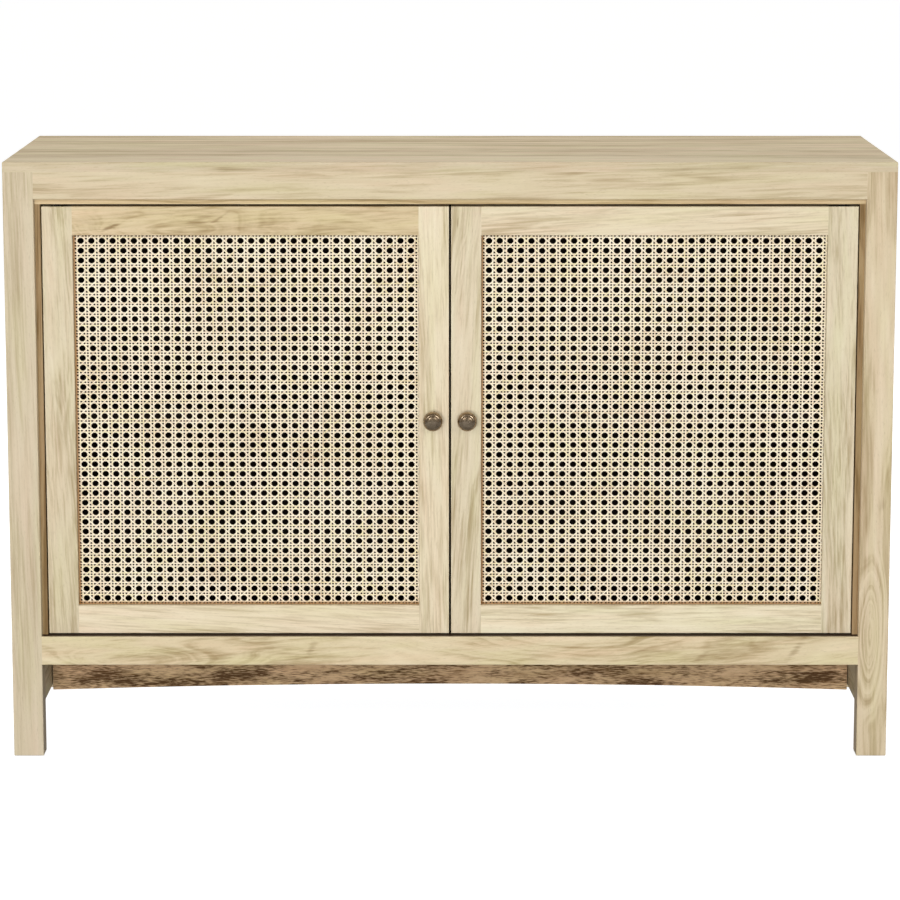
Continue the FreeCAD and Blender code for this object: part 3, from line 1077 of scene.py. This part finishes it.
def corner_lines(across: float, depth: float, spans: Sequence[tuple[float, float]]) -> list[Line]:
    """Upright lines at one place.

    Args:
        across: Their X.
        depth: Their Y.
        spans: The lowest and highest Z of each.

    Returns:
        The lines.
    """
    return [Line(Vector((across, depth, low)), Vector((across, depth, high)))
            for low, high in spans]


def outline_lines(corners: Sequence[Vector]) -> list[Line]:
    """Lines that join corners into a closed outline.

    Args:
        corners: The corners in order.

    Returns:
        The lines.
    """
    return [Line(start, end) for start, end in zip(corners, [*corners[1:], corners[0]])]


# --- the case -----------------------------------------------------------------------------------


def inside_shade() -> Stain:
    """Find where the case gets painted shade: its surfaces behind the doors, above the floor.

    Returns:
        The painted shade.
    """
    skin = 0.5 * MM
    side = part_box("side_panel_right")[0].x + skin
    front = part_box("hinge_stile_right")[1].y
    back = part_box("back_panel")[0].y + skin
    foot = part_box("floor_board")[1].z - skin
    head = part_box("top_board")[0].z + skin
    return Stain(Vector((-side, front, foot)), Vector((side, back, head)))


@dataclass(frozen=True)
class CaseFrame:
    """The top, the legs and the rails.

    Attributes:
        body: The CAD body that they belong to.
    """

    body: str = "carcass"

    def build(self) -> None:
        """Build every piece of the frame."""
        self._build_top()
        for hand in Hand:
            self._build_leg("front", hand)
            self._build_leg("back", hand)
            self._build_side_rails(hand)
        self._build_cross_rails()
        self._finish_hidden()

    def _build_top(self) -> None:
        """The top, whose planks run across, with its corners eased down to the legs."""
        low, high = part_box("top_board")
        chamfer = 1.0 * MM
        lines = [line for across in (low.x, high.x) for depth in (low.y, high.y)
                 for line in corner_lines(across, depth, ((low.z, high.z - chamfer),))]
        finish = MangoWood(
            "mango_top_planks_lacquered", Axis.ACROSS, 0.5, "#c3b495", figure=1.1,
            clouds=1.2, fibres=1.3, streaks=0.2, wash=0.8, ring_width=9.0 * MM,
            patch=(420.0 * MM, 34.0 * MM), heart=(80.0 * MM, 24.0 * MM), slope=0.02,
            planks=(Plank(low.y, 0.12), Plank(low.y + 84.0 * MM, -0.06),
                    Plank(low.y + 195.0 * MM, 0.02), Plank(low.y + 301.0 * MM, -0.1)),
            marks=(Mark(-187.0 * MM, 753.7 * MM, 90.0 * MM, 5.0 * MM, 0.02, 0.3),),
            painted_shades=(inside_shade(),),
        )
        EasedPiece("top_board", self.body, finish, tuple(lines), 0.8 * MM).build()

    def _build_leg(self, place: str, hand: Hand) -> None:
        """A leg, eased along its free corners and round its foot.

        Args:
            place: Whether it is a front or a back leg.
            hand: Its side.
        """
        node = f"leg_{place}_{hand.word}"
        low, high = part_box(node)
        outer, inner = (high.x, low.x) if hand is Hand.RIGHT else (low.x, high.x)
        face, rear = (low.y, high.y) if place == "front" else (high.y, low.y)
        rail_low, rail_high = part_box(f"bottom_rail_{place}")
        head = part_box(f"top_rail_{place}")[0].z
        side_rail_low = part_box(f"bottom_rail_side_{hand.word}")[0].z
        lines = corner_lines(outer, face, ((low.z, high.z),))
        lines += corner_lines(outer, rear, ((low.z, high.z),))
        lines += corner_lines(inner, face, ((low.z, rail_low.z), (rail_high.z, head)))
        lines += corner_lines(inner, rear, ((low.z, side_rail_low),))
        lines += outline_lines([Vector((across, depth, low.z)) for across, depth in (
            (outer, face), (inner, face), (inner, rear), (outer, rear))])
        looks = {
            "leg_front_left": (0.6, "#ccbea3", 0.3, 0.02),
            "leg_front_right": (6.2, "#cfbe9f", 1.0, 0.02),
            "leg_back_left": (3.3, "#d3c3a3", 0.7, 0.03),
            "leg_back_right": (4.4, "#d3c3a3", 0.7, 0.03),
        }
        seed, colour, figure, slope = looks[node]
        eyes, marks = (), ()
        if node == "leg_front_right":
            eyes = (Eye((543.0 * MM, low.y, 164.0 * MM), (25.0 * MM, 60.0 * MM, 125.0 * MM),
                        7.0),)
            marks = (Mark(549.0 * MM, 327.0 * MM, 26.0 * MM, 13.0 * MM, 1.4, 0.35),)
        finish = MangoWood(f"mango_{node}_lacquered", Axis.UP, seed, colour, figure,
                           clouds=0.6, fibres=0.7, heart=(95.0 * MM, 6.0 * MM), slope=slope,
                           marks=marks, eyes=eyes, painted_shades=(inside_shade(),))
        EasedPiece(node, self.body, finish, tuple(lines)).build()

    def _build_side_rails(self, hand: Hand) -> None:
        """The two side rails of one end, eased along their free lower edges.

        Args:
            hand: Their side.
        """
        legs = [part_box(f"leg_{place}_{hand.word}") for place in ("front", "back")]
        start, end = legs[0][1].y, legs[1][0].y
        for seed, level in ((1.2, "top"), (2.7, "bottom")):
            node = f"{level}_rail_side_{hand.word}"
            low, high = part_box(node)
            lines = [Line(Vector((across, start, low.z)), Vector((across, end, low.z)))
                     for across in (low.x, high.x) if level == "bottom"]
            finish = MangoWood(f"mango_{node}_lacquered", Axis.DEPTH, seed + hand.value,
                               painted_shades=(inside_shade(),))
            if lines:
                EasedPiece(node, self.body, finish, tuple(lines)).build()
            else:
                finish_node(node, finish)

    def _build_cross_rails(self) -> None:
        """The front and back rails, eased along the edges that are free."""
        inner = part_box("leg_front_right")[0].x
        low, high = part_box("bottom_rail_front")
        face = low.y
        # Painted shade: the bottom rail's top face under the doors is coloured dark brown where
        # it lies in their shade.
        skin = Vector((0.0, 0.0, 0.1 * MM))
        ledge = Stain(Vector((low.x, low.y - MM, high.z)) - skin, high + skin, "#3a2716")
        inside = inside_shade()
        finishes = {
            "top_rail_front": MangoWood(
                "mango_top_rail_front_lacquered", Axis.ACROSS, 0.35, "#cdbe9f", figure=0.6,
                clouds=1.0, fibres=0.8, heart=(110.0 * MM, 40.0 * MM), slope=0.02,
                painted_shades=(inside,)),
            "bottom_rail_front": MangoWood(
                "mango_bottom_rail_front_lacquered", Axis.ACROSS, 6.2, "#d3c3a0",
                figure=1.0, clouds=1.3, fibres=0.8, wash=0.7, ring_width=9.0 * MM,
                patch=(170.0 * MM, 34.0 * MM), heart=(60.0 * MM, 8.0 * MM), slope=0.08,
                marks=(Mark(-178.0 * MM, 139.0 * MM, 26.0 * MM, 12.0 * MM, 1.0, 0.45),
                       Mark(322.0 * MM, 131.0 * MM, 44.0 * MM, 9.0 * MM, 0.6, 0.45),
                       Mark(441.0 * MM, 139.0 * MM, 52.0 * MM, 12.0 * MM, 0.9, 0.5)),
                eyes=(Eye((-395.0 * MM, face, 128.0 * MM),
                          (210.0 * MM, 50.0 * MM, 34.0 * MM), 5.0),
                      Eye((150.0 * MM, face, 160.0 * MM),
                          (240.0 * MM, 50.0 * MM, 46.0 * MM), 5.0)),
                painted_shades=(ledge, inside)),
            "top_rail_back": MangoWood("mango_top_rail_back_lacquered", Axis.ACROSS, 1.4,
                                       painted_shades=(inside,)),
            "bottom_rail_back": MangoWood("mango_bottom_rail_back_lacquered", Axis.ACROSS, 2.4,
                                          painted_shades=(inside,)),
        }
        for node, finish in finishes.items():
            low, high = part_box(node)
            depth = low.y if node.endswith("front") else high.y
            levels = [low.z] if node.startswith("top") else [low.z, high.z]
            lines = [Line(Vector((-inner, depth, level)), Vector((inner, depth, level)))
                     for level in levels]
            EasedPiece(node, self.body, finish, tuple(lines)).build()

    def _finish_hidden(self) -> None:
        """The arched rail and the glued blocks, left rough from the saw."""
        finish_node("under_rail", MangoWood(
            "mango_under_rail_rough_sawn", Axis.ACROSS, 4.2, "#c6a781", figure=0.5,
            clouds=1.3, fibres=1.5, streaks=0.4, darkest=(0.16, 0.12, 0.09),
            ring_width=6.0 * MM, patch=(110.0 * MM, 22.0 * MM), fibre=(34.0 * MM, 1.4 * MM),
            gloss=0.2, heart=(60.0 * MM, 4.0 * MM), slope=0.12, roughness=0.75,
            planks=(Plank(0.0, -0.15),)))
        for seed, node in enumerate(("top_corner_blocks", "base_corner_blocks")):
            finish_node(node, MangoWood(f"mango_{node}_rough_sawn", Axis.UP, 1.0 + seed,
                                        "#b99f77", roughness=0.75, painted_shades=(inside_shade(),)))


@dataclass(frozen=True)
class Casework:
    """The panels, the floor, the shelf and the strips that line the opening."""

    def build(self) -> None:
        """Finish every board of the case."""
        # Painted shade: the surfaces inside the case are coloured near black because they lie in
        # shade.
        inside = inside_shade()
        for hand in Hand:
            finish_node(f"side_panel_{hand.word}", MangoWood(
                f"mango_side_panel_{hand.word}_lacquered", Axis.UP, 1.9 + hand.value,
                figure=0.7, clouds=0.6, fibres=0.6, ring_width=11.0 * MM,
                heart=(90.0 * MM, 150.0 * MM), slope=0.02, gloss=0.12, painted_shades=(inside,)))
            # The side liners' dark brown is partly their own tone and partly painted shade for
            # the recess beside the legs.
            finish_node(f"side_liner_{hand.word}", MangoWood(
                f"mango_side_liner_{hand.word}_lacquered", Axis.UP, 3.0 + hand.value,
                "#9b825d", figure=1.4, fibres=1.6))
            # The shelf battens are near black, as painted shade.
            finish_node(f"shelf_batten_{hand.word}", ShadePaintedPlywood())
        finish_node("back_panel", MangoWood(
            "mango_ply_back_panel_lacquered", Axis.ACROSS, 2.2, figure=0.6, clouds=0.5,
            fibres=0.5, ring_width=14.0 * MM, heart=(160.0 * MM, 60.0 * MM), gloss=0.12,
            painted_shades=(inside,)))
        finish_node("head_liner", MangoWood("mango_head_liner_lacquered", Axis.ACROSS, 1.7,
                                            "#cbb58d", figure=1.2))
        # The boards inside are near black: painted shade for the shaded inside.
        for node in ("floor_board", "shelf", "floor_batten_front", "floor_batten_back"):
            finish_node(node, ShadePaintedPlywood())


# --- the doors ----------------------------------------------------------------------------------


@dataclass(frozen=True)
class Opening:
    """The opening that a door's frame leaves for the cane.

    Attributes:
        left: Its lowest X.
        right: Its highest X.
        foot: Its lowest Z.
        head: Its highest Z.
    """

    left: float
    right: float
    foot: float
    head: float


def cane_opening(hand: Hand) -> Opening:
    """Find the opening between a door's stiles and rails.

    Args:
        hand: The door's side.

    Returns:
        The opening.
    """
    stiles = [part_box(f"{name}_{hand.word}") for name in ("hinge_stile", "meeting_stile")]
    left_stile, right_stile = sorted(stiles, key=lambda box: box[0].x)
    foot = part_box(f"door_rail_bottom_{hand.word}")[1].z
    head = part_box(f"door_rail_top_{hand.word}")[0].z
    return Opening(left_stile[1].x, right_stile[0].x, foot, head)


@dataclass(frozen=True)
class DoorFrame:
    """The two stiles, the two rails and the beads of one door.

    Attributes:
        hand: The door's side.
    """

    hand: Hand

    def build(self) -> None:
        """Build the frame of the door."""
        for upright in ("hinge_stile", "meeting_stile"):
            self._build_stile(upright)
        for level in ("bottom", "top"):
            self._build_rail(level)
        finish_node(f"cane_beads_{self.hand.word}", MangoWood(
            f"mango_cane_beads_{self.hand.word}", Axis.UP, 0.9, "#a8865a"))

    def _build_stile(self, upright: str) -> None:
        """An upright, eased round its outer edges and along the cane.

        Args:
            upright: Which of the two it is.
        """
        node = f"{upright}_{self.hand.word}"
        low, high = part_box(node)
        opening = cane_opening(self.hand)
        inner = low.x if abs(low.x - opening.right) < MERGE_DISTANCE else high.x
        outer = high.x if inner == low.x else low.x
        lines = []
        for depth in (low.y, high.y):
            lines += corner_lines(outer, depth, ((low.z, high.z),))
            lines += [Line(Vector((low.x, depth, level)), Vector((high.x, depth, level)))
                      for level in (low.z, high.z)]
        lines += corner_lines(inner, low.y, ((opening.foot, opening.head),))
        looks = {
            ("hinge_stile", Hand.LEFT): (0.2, "#d1c4a7", 1.0),
            ("meeting_stile", Hand.LEFT): (1.3, "#dccfb2", 0.6),
            ("meeting_stile", Hand.RIGHT): (2.9, "#d4c7ab", 0.8),
            ("hinge_stile", Hand.RIGHT): (6.1, "#d3c7ab", 1.0),
        }
        seed, colour, figure = looks[upright, self.hand]
        marks = ()
        if (upright, self.hand) == ("meeting_stile", Hand.RIGHT):
            marks = (Mark(9.6 * MM, 684.7 * MM, 19.0 * MM, 3.0 * MM, 1.5, 0.7),)
        finish = MangoWood(f"mango_{node}_lacquered", Axis.UP, seed, colour, figure,
                           ring_width=9.0 * MM, slope=0.05, marks=marks)
        EasedPiece(node, self.hand.door, finish, tuple(lines), 0.9 * MM).build()

    def _build_rail(self, level: str) -> None:
        """A rail, eased along its outer edge and along the cane.

        Args:
            level: Whether it is the top or the bottom rail.
        """
        node = f"door_rail_{level}_{self.hand.word}"
        low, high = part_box(f"hinge_stile_{self.hand.word}")
        opening = cane_opening(self.hand)
        inner, outer = (opening.head, high.z) if level == "top" else (opening.foot, low.z)
        lines = [Line(Vector((opening.left, depth, place)), Vector((opening.right, depth, place)))
                 for depth, place in ((low.y, inner), (low.y, outer), (high.y, outer))]
        looks = {
            ("top", Hand.LEFT): (6.1, "#cebb96", 1.0, 0.25),
            ("top", Hand.RIGHT): (0.8, "#d9cbae", 0.7, 0.0),
            ("bottom", Hand.LEFT): (2.3, "#e0d2b5", 0.6, 0.0),
            ("bottom", Hand.RIGHT): (5.2, "#e0d5b7", 0.8, 0.0),
        }
        seed, colour, figure, streaks = looks[level, self.hand]
        marks, eyes = (), ()
        if (level, self.hand) == ("top", Hand.LEFT):
            marks = (Mark(-427.0 * MM, 678.5 * MM, 34.0 * MM, 5.0 * MM, 0.42, 0.75),
                     Mark(-318.0 * MM, 686.0 * MM, 56.0 * MM, 16.0 * MM, 0.45, 0.35),
                     Mark(-290.0 * MM, 690.0 * MM, 36.0 * MM, 5.0 * MM, 0.6, 0.5))
            eyes = (Eye((-330.0 * MM, low.y, 676.0 * MM),
                        (200.0 * MM, 50.0 * MM, 44.0 * MM), 5.0),)
        finish = MangoWood(f"mango_{node}_lacquered", Axis.ACROSS, seed, colour, figure,
                           streaks=streaks, ring_width=9.0 * MM, patch=(200.0 * MM, 32.0 * MM),
                           slope=0.05, marks=marks, eyes=eyes)
        EasedPiece(node, self.hand.door, finish, tuple(lines), 0.9 * MM).build()


@dataclass(frozen=True)
class WovenCane:
    """The cane sheet of one door.

    Upright pairs and level pairs are woven plainly, over one strand and under the next.
    The rising set runs over the level pairs and under the upright ones, and the falling
    set the other way.

    Attributes:
        hand: The door that it is in.
        pitch_across: From one upright pair to the next.
        pitch_up: From one level pair to the next.
        columns: How many upright pairs there are.
        rows: How many level pairs there are.
        upright_spacing: From one strand of an upright pair to the other.
        level_spacing: From one strand of a level pair to the other.
        width: The width of a strand.
        thickness: From a strand's flat back to its crown.
        pair_lift: How far a strand of a pair bends out of the sheet's middle, both ways.
        slant_lift: How far a slanting strand does.
        drift: How far a crossing may wander from its place.
        drift_size: The size of a patch that wanders the same way.
        steps: How many times each strand is sampled from one pair to the next.
        seed: Fixes the wander, which would come from the clock without it.
    """

    hand: Hand
    pitch_across: float = 13.4 * MM
    pitch_up: float = 12.4 * MM
    columns: int = 33
    rows: int = 39
    upright_spacing: float = 3.9 * MM
    level_spacing: float = 3.5 * MM
    width: float = 1.85 * MM
    thickness: float = 0.6 * MM
    pair_lift: float = 0.3 * MM
    slant_lift: float = 0.6 * MM
    drift: float = 0.35 * MM
    drift_size: float = 45.0 * MM
    steps: int = 3
    seed: int = 7

    def build(self) -> None:
        """Weave the four strand sets."""
        noise.seed_set(self.seed)
        opening = cane_opening(self.hand)
        lean = math.atan2(self.pitch_up, self.pitch_across)
        sets = (("uprights", self._uprights(), math.pi / 2), ("levels", self._levels(), 0.0),
                ("rising", self._slants(1), lean), ("falling", self._slants(-1), -lean))
        for name, shape, angle in sets:
            self._close(shape)
            finish = RattanPeel(f"rattan_peel_{name}_{self.hand.word}", angle,
                                (opening.left, opening.foot))
            panel = f"cane_panel_{self.hand.word}"
            add_piece(f"cane_{name}_{self.hand.word}", shape, material_for(panel, finish),
                      self.hand.door, panel)

    @property
    def _centre(self) -> Vector:
        """The middle of the sheet."""
        return middle_of(f"cane_panel_{self.hand.word}")

    def _sheet(self) -> bmesh.types.BMesh:
        """Start a mesh with a layer that holds how near each point is to a strand's rim.

        Returns:
            The empty mesh.
        """
        shape = bmesh.new()
        shape.verts.layers.float.new(RIM)
        return shape

    def _strand(self, shape: bmesh.types.BMesh, start: Vector, step: Vector, steps: int,
                lifts: Sequence[float]) -> None:
        """Sweep one strand, flat at the back and crowned in front.

        Args:
            shape: The mesh that gets the strand.
            start: The middle of its first section.
            step: From one section to the next.
            steps: How many steps it has.
            lifts: How far it is lifted forwards at each step of its repeat.
        """
        strand = self._sheet()
        rim = strand.verts.layers.float[RIM]
        side = step.cross(FORWARD).normalized() * self.width / 2
        back = -FORWARD * self.thickness / 2
        corners = [strand.verts.new(start + place)
                   for place in (back - side, back + side, -back)]
        ring = [strand.edges.new((corners[index], corners[index - 1])) for index in range(3)]
        bmesh.ops.spin(strand, geom=[*corners, *ring], cent=start, axis=FORWARD, dvec=step,
                       angle=0.0, steps=steps, use_merge=False, use_duplicate=False)
        for vert in strand.verts:
            vert[rim] = abs((vert.co - start).dot(side)) / side.length_squared
            index = round((vert.co - start).dot(step) / step.length_squared)
            vert.co += FORWARD * lifts[index % len(lifts)]
        mesh = bpy.data.meshes.new("strand")
        strand.to_mesh(mesh)
        strand.free()
        shape.from_mesh(mesh)
        bpy.data.meshes.remove(mesh)

    def _uprights(self) -> bmesh.types.BMesh:
        """Weave the upright pairs: one of them, repeated across the sheet.

        Returns:
            The mesh of the set.
        """
        shape = self._sheet()
        foot = self._centre - Vector((
            (self.columns - 1) / 2 * self.pitch_across, 0.0, self.rows / 2 * self.pitch_up))
        step = Vector((0.0, 0.0, self.pitch_up / self.steps))
        for side, lift in ((-1, -self.pair_lift), (1, self.pair_lift)):
            start = foot + Vector((side * self.upright_spacing / 2, 0.0, 0.0))
            self._strand(shape, start, step, self.steps * self.rows, (0.0, lift, -lift))
        self._repeat(shape, Vector((self.pitch_across, 0.0, 0.0)), self.columns - 1)
        return shape

    def _levels(self) -> bmesh.types.BMesh:
        """Weave the level pairs: one of them, repeated up the sheet.

        Returns:
            The mesh of the set.
        """
        shape = self._sheet()
        foot = self._centre - Vector((
            self.columns / 2 * self.pitch_across, 0.0, (self.rows - 1) / 2 * self.pitch_up))
        step = Vector((self.pitch_across / self.steps, 0.0, 0.0))
        for side, lift in ((-1, self.pair_lift), (1, -self.pair_lift)):
            start = foot + Vector((0.0, 0.0, side * self.level_spacing / 2))
            self._strand(shape, start, step, self.steps * self.columns, (0.0, lift, -lift))
        self._repeat(shape, Vector((0.0, 0.0, self.pitch_up)), self.rows - 1)
        return shape

    def _slants(self, direction: int) -> bmesh.types.BMesh:
        """Weave one slanting set, each strand from one edge of the lattice to another.

        The lattice has half a mesh to each unit, from its middle. Its even columns and even
        rows are the pairs, and slanting strands pass half-way between them.

        Args:
            direction: 1 for the rising set and -1 for the falling one.

        Returns:
            The mesh of the set.
        """
        shape = self._sheet()
        half_mesh = Vector((self.pitch_across / 2, 0.0, self.pitch_up / 2))
        right, top = self.columns, self.rows
        for offset in range(-right - top + 1, right + top, 2):
            first = max(-right, -top - offset)
            last = min(right, top - offset)
            if last <= first:
                continue
            step = Vector((half_mesh.x, 0.0, direction * half_mesh.z)) / self.steps
            start = self._centre + Vector((
                first * half_mesh.x, 0.0, direction * (first + offset) * half_mesh.z))
            crosses_level = first % 2 == 1
            lift = self.slant_lift * direction * (1 if crosses_level else -1)
            self._strand(shape, start - step / 2, step, self.steps * (last - first) + 1,
                         (lift, lift, 0.0, -lift, -lift, 0.0))
        return shape

    def _repeat(self, shape: bmesh.types.BMesh, step: Vector, times: int) -> None:
        """Copy the whole mesh again and again, a step further each time.

        Args:
            shape: The mesh.
            step: From one copy to the next.
            times: How many copies there are.
        """
        bmesh.ops.spin(shape, geom=[*shape.verts, *shape.edges, *shape.faces],
                       cent=self._centre, axis=FORWARD, dvec=step, angle=0.0, steps=times,
                       use_merge=False, use_duplicate=True)

    def _close(self, shape: bmesh.types.BMesh) -> None:
        """Cap the strands' ends, and let the whole sheet wander a little as real cane does.

        Args:
            shape: The mesh.
        """
        ends = [edge for edge in shape.edges if edge.is_boundary]
        bmesh.ops.holes_fill(shape, edges=ends, sides=3)
        for vert in shape.verts:
            flow = noise.noise_vector(vert.co / self.drift_size) * self.drift
            vert.co += Vector((flow.x, 0.0, flow.z))
        bmesh.ops.recalc_face_normals(shape, faces=shape.faces)


@dataclass(frozen=True)
class TurnedKnob:
    """A cast knob: a flared foot, a short drum, a soft shoulder and a shallow dome.

    Attributes:
        hand: The door that it belongs to.
        outline: Radius and reach in front of the door, both in millimetres, from the tip
            back to the door.
        sides: How many steps its round has.
    """

    hand: Hand
    outline: tuple[tuple[float, float], ...] = (
        (0.0, 23.4), (3.2, 23.3), (6.0, 22.9), (7.9, 22.3), (8.4, 21.4), (9.0, 21.4),
        (10.3, 20.6), (11.5, 18.9), (12.2, 16.8), (12.4, 14.4), (12.4, 11.6), (12.1, 9.8),
        (11.2, 8.4), (9.4, 7.4), (7.4, 6.4), (6.3, 4.6), (6.2, 2.4), (6.8, 0.8), (7.0, 0.0),
        (0.0, 0.0),
    )
    sides: int = 48

    def build(self) -> None:
        """Turn the outline about the knob's axis."""
        node = f"knob_{self.hand.word}"
        low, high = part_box(node)
        foot = Vector(((low.x + high.x) / 2, high.y, (low.z + high.z) / 2))
        shape = bmesh.new()
        points = [shape.verts.new(foot + Vector((radius * MM, -reach * MM, 0.0)))
                  for radius, reach in self.outline]
        edges = [shape.edges.new(pair) for pair in zip(points, points[1:])]
        bmesh.ops.spin(shape, geom=[*points, *edges], cent=foot, axis=FORWARD,
                       dvec=Vector(), angle=2 * math.pi, steps=self.sides, use_merge=True,
                       use_duplicate=False)
        bmesh.ops.remove_doubles(shape, verts=shape.verts, dist=MERGE_DISTANCE)
        bmesh.ops.recalc_face_normals(shape, faces=shape.faces)
        for face in shape.faces:
            face.smooth = True
        add_piece(f"{node}_cast", shape, material_for(node, AgedIron()), self.hand.door,
                  node)


@dataclass(frozen=True)
class Hardware:
    """The hinge leaves, the catches, the strike plates and the knob screws.

    Attributes:
        blackened: Pressed steel, blackened in a hot bath, which leaves it dark and satin.
        plated: Pressed steel with bright zinc plating, which gives it a cold white gleam.
        moulded: ABS moulded in a polished tool, so it is brown and softly shiny.
        ferrite: Pressed and fired iron oxide, a dull dark grey like slate.
    """

    blackened: SmallPart = SmallPart("steel_blackened", "#221f1c", "#332e2a", 0.45, 1.0)
    plated: SmallPart = SmallPart("steel_zinc_plated", "#9a9c9e", "#b9babb", 0.34, 1.0)
    moulded: SmallPart = SmallPart("abs_moulded_brown", "#3a281c", "#46311f", 0.45)
    ferrite: SmallPart = SmallPart("ferrite_sintered", "#26262a", "#34343a", 0.6)

    def build(self) -> None:
        """Finish the small parts."""
        finish_node("hinge_leaves_case", self.blackened)
        finish_node("catch_cases", self.moulded)
        finish_node("catch_magnets", self.ferrite)
        for hand in Hand:
            finish_node(f"hinge_leaves_door_{hand.word}", self.blackened)
            for node in ("knob_screw", "strike_plate"):
                finish_node(f"{node}_{hand.word}", self.plated)


# --- the studio ---------------------------------------------------------------------------------


@dataclass(frozen=True)
class Studio:
    """A pale floor, soft light and a camera that looks a little down at the doors.

    Attributes:
        distance: How far the camera stands in front of the legs.
        height: How high it stands.
        pitch: How far it looks down.
        lens: Its focal length in millimetres.
        sensor: The width of its sensor in millimetres.
    """

    distance: float = 4.4
    height: float = 1.15
    pitch: float = math.radians(9.7)
    lens: float = 141.3
    sensor: float = 36.0

    def build(self) -> None:
        """Build the floor, the lights and the camera."""
        bpy.context.scene.view_settings.view_transform = "Standard"
        self._build_floor()
        self._build_world()
        self._add_light("key_softbox", (-0.4, -5.0, 0.6), (2.0, 1.6), 171.0, shines=False)
        self._add_light("overhead_softbox", (0.0, 1.2, 3.0), (2.4, 1.6), 53.0)
        self._add_pair("rear_softbox", (2.6, 3.2, 1.4), (1.6, 1.4), 34.0, shines=False)
        self._add_pair("side_softbox", (3.6, 0.3, 0.9), (1.6, 1.4), 38.0, shines=False)
        self._add_pair("strip", (1.2, -2.8, 1.45), (1.3, 0.3), 12.0)
        self._build_camera()

    def _build_floor(self) -> None:
        """A wide floor, lit so far up to white that the shadow on it stays faint.

        It lies a hair below the feet, and from below it can be seen through.
        """
        shape = bmesh.new()
        bmesh.ops.create_grid(shape, x_segments=1, y_segments=1, size=60.0)
        bmesh.ops.translate(shape, verts=shape.verts, vec=Vector((0.0, 0.0, -0.3 * MM)))
        mesh = bpy.data.meshes.new("studio_floor")
        shape.to_mesh(mesh)
        shape.free()
        material, tree, shader = new_material("studio_floor_white_paper")
        shader.inputs["Base Color"].default_value = linear("#a0a4aa")
        shader.inputs["Roughness"].default_value = 0.9
        shader.inputs["Specular IOR Level"].default_value = 0.0
        shader.inputs["Emission Color"].default_value = linear("#ffffff")
        seen = add_node(tree, "ShaderNodeLightPath").outputs["Is Camera Ray"]
        glow = weighted(tree, ((seen, 0.9),), 0.0)
        tree.links.new(glow, shader.inputs["Emission Strength"])
        below = add_node(tree, "ShaderNodeNewGeometry").outputs["Backfacing"]
        tree.links.new(weighted(tree, ((below, -1.0),), 1.0), shader.inputs["Alpha"])
        mesh.materials.append(material)
        floor = bpy.data.objects.new("studio_floor", mesh)
        bpy.context.scene.collection.objects.link(floor)

    def _build_world(self) -> None:
        """A soft even light, with a clean white where the camera sees past the floor."""
        world = bpy.data.worlds.new("studio_world")
        world.use_nodes = True
        tree = world.node_tree
        tree.nodes.clear()
        soft = add_node(tree, "ShaderNodeBackground", {"Strength": 0.3})
        clean = add_node(tree, "ShaderNodeBackground", {"Strength": 1.0})
        seen = add_node(tree, "ShaderNodeLightPath").outputs["Is Camera Ray"]
        both = add_node(tree, "ShaderNodeMixShader", {
            0: seen, 1: soft.outputs["Background"], 2: clean.outputs["Background"],
        })
        soft.inputs["Color"].default_value = linear("#fff5e8")
        clean.inputs["Color"].default_value = linear("#ffffff")
        add_node(tree, "ShaderNodeOutputWorld", {"Surface": both.outputs["Shader"]})
        bpy.context.scene.world = world

    def _add_pair(self, name: str, place: tuple[float, float, float],
                  size: tuple[float, float], power: float, shines: bool = True) -> None:
        """Add a light and its twin at the cabinet's other side.

        Args:
            name: The name of both, before the word for the side.
            place: Where the right one stands.
            size: The width and height of each.
            power: The power of each in watts.
            shines: Whether glossy surfaces reflect them.
        """
        across, depth, level = place
        for hand in Hand:
            self._add_light(f"{name}_{hand.word}", (hand.value * across, depth, level), size,
                            power, shines)

    def _add_light(self, name: str, place: tuple[float, float, float],
                   size: tuple[float, float], power: float, shines: bool = True) -> None:
        """Add a softbox that faces the cabinet.

        Args:
            name: The light's name.
            place: Where it stands.
            size: Its width and height.
            power: Its power in watts.
            shines: Whether glossy surfaces reflect it.
        """
        light = bpy.data.lights.new(name, "AREA")
        light.shape = "RECTANGLE"
        light.size, light.size_y = size
        light.energy = power
        lamp = bpy.data.objects.new(name, light)
        lamp.visible_glossy = shines
        target = Vector((0.0, 0.0, 0.4))
        lamp.location = place
        lamp.rotation_euler = (target - Vector(place)).to_track_quat("-Z", "Y").to_euler()
        bpy.context.scene.collection.objects.link(lamp)

    def _build_camera(self) -> None:
        """The camera, on the cabinet's middle line and level from side to side."""
        data = bpy.data.cameras.new("studio_camera")
        data.sensor_width = self.sensor
        data.lens = self.lens
        camera = bpy.data.objects.new("studio_camera", data)
        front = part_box("leg_front_left")[0].y
        camera.location = (0.0, front - self.distance, self.height)
        camera.rotation_euler = (math.pi / 2 - self.pitch, 0.0, 0.0)
        bpy.context.scene.collection.objects.link(camera)
        bpy.context.scene.camera = camera


def main() -> None:
    """Build the cabinet's pieces in order, then the studio."""
    logging.basicConfig(level=logging.INFO, format="%(message)s")
    CaseFrame().build()
    Casework().build()
    for hand in Hand:
        DoorFrame(hand).build()
        WovenCane(hand).build()
        TurnedKnob(hand).build()
    Hardware().build()
    Studio().build()


if __name__ == "__main__":
    main()
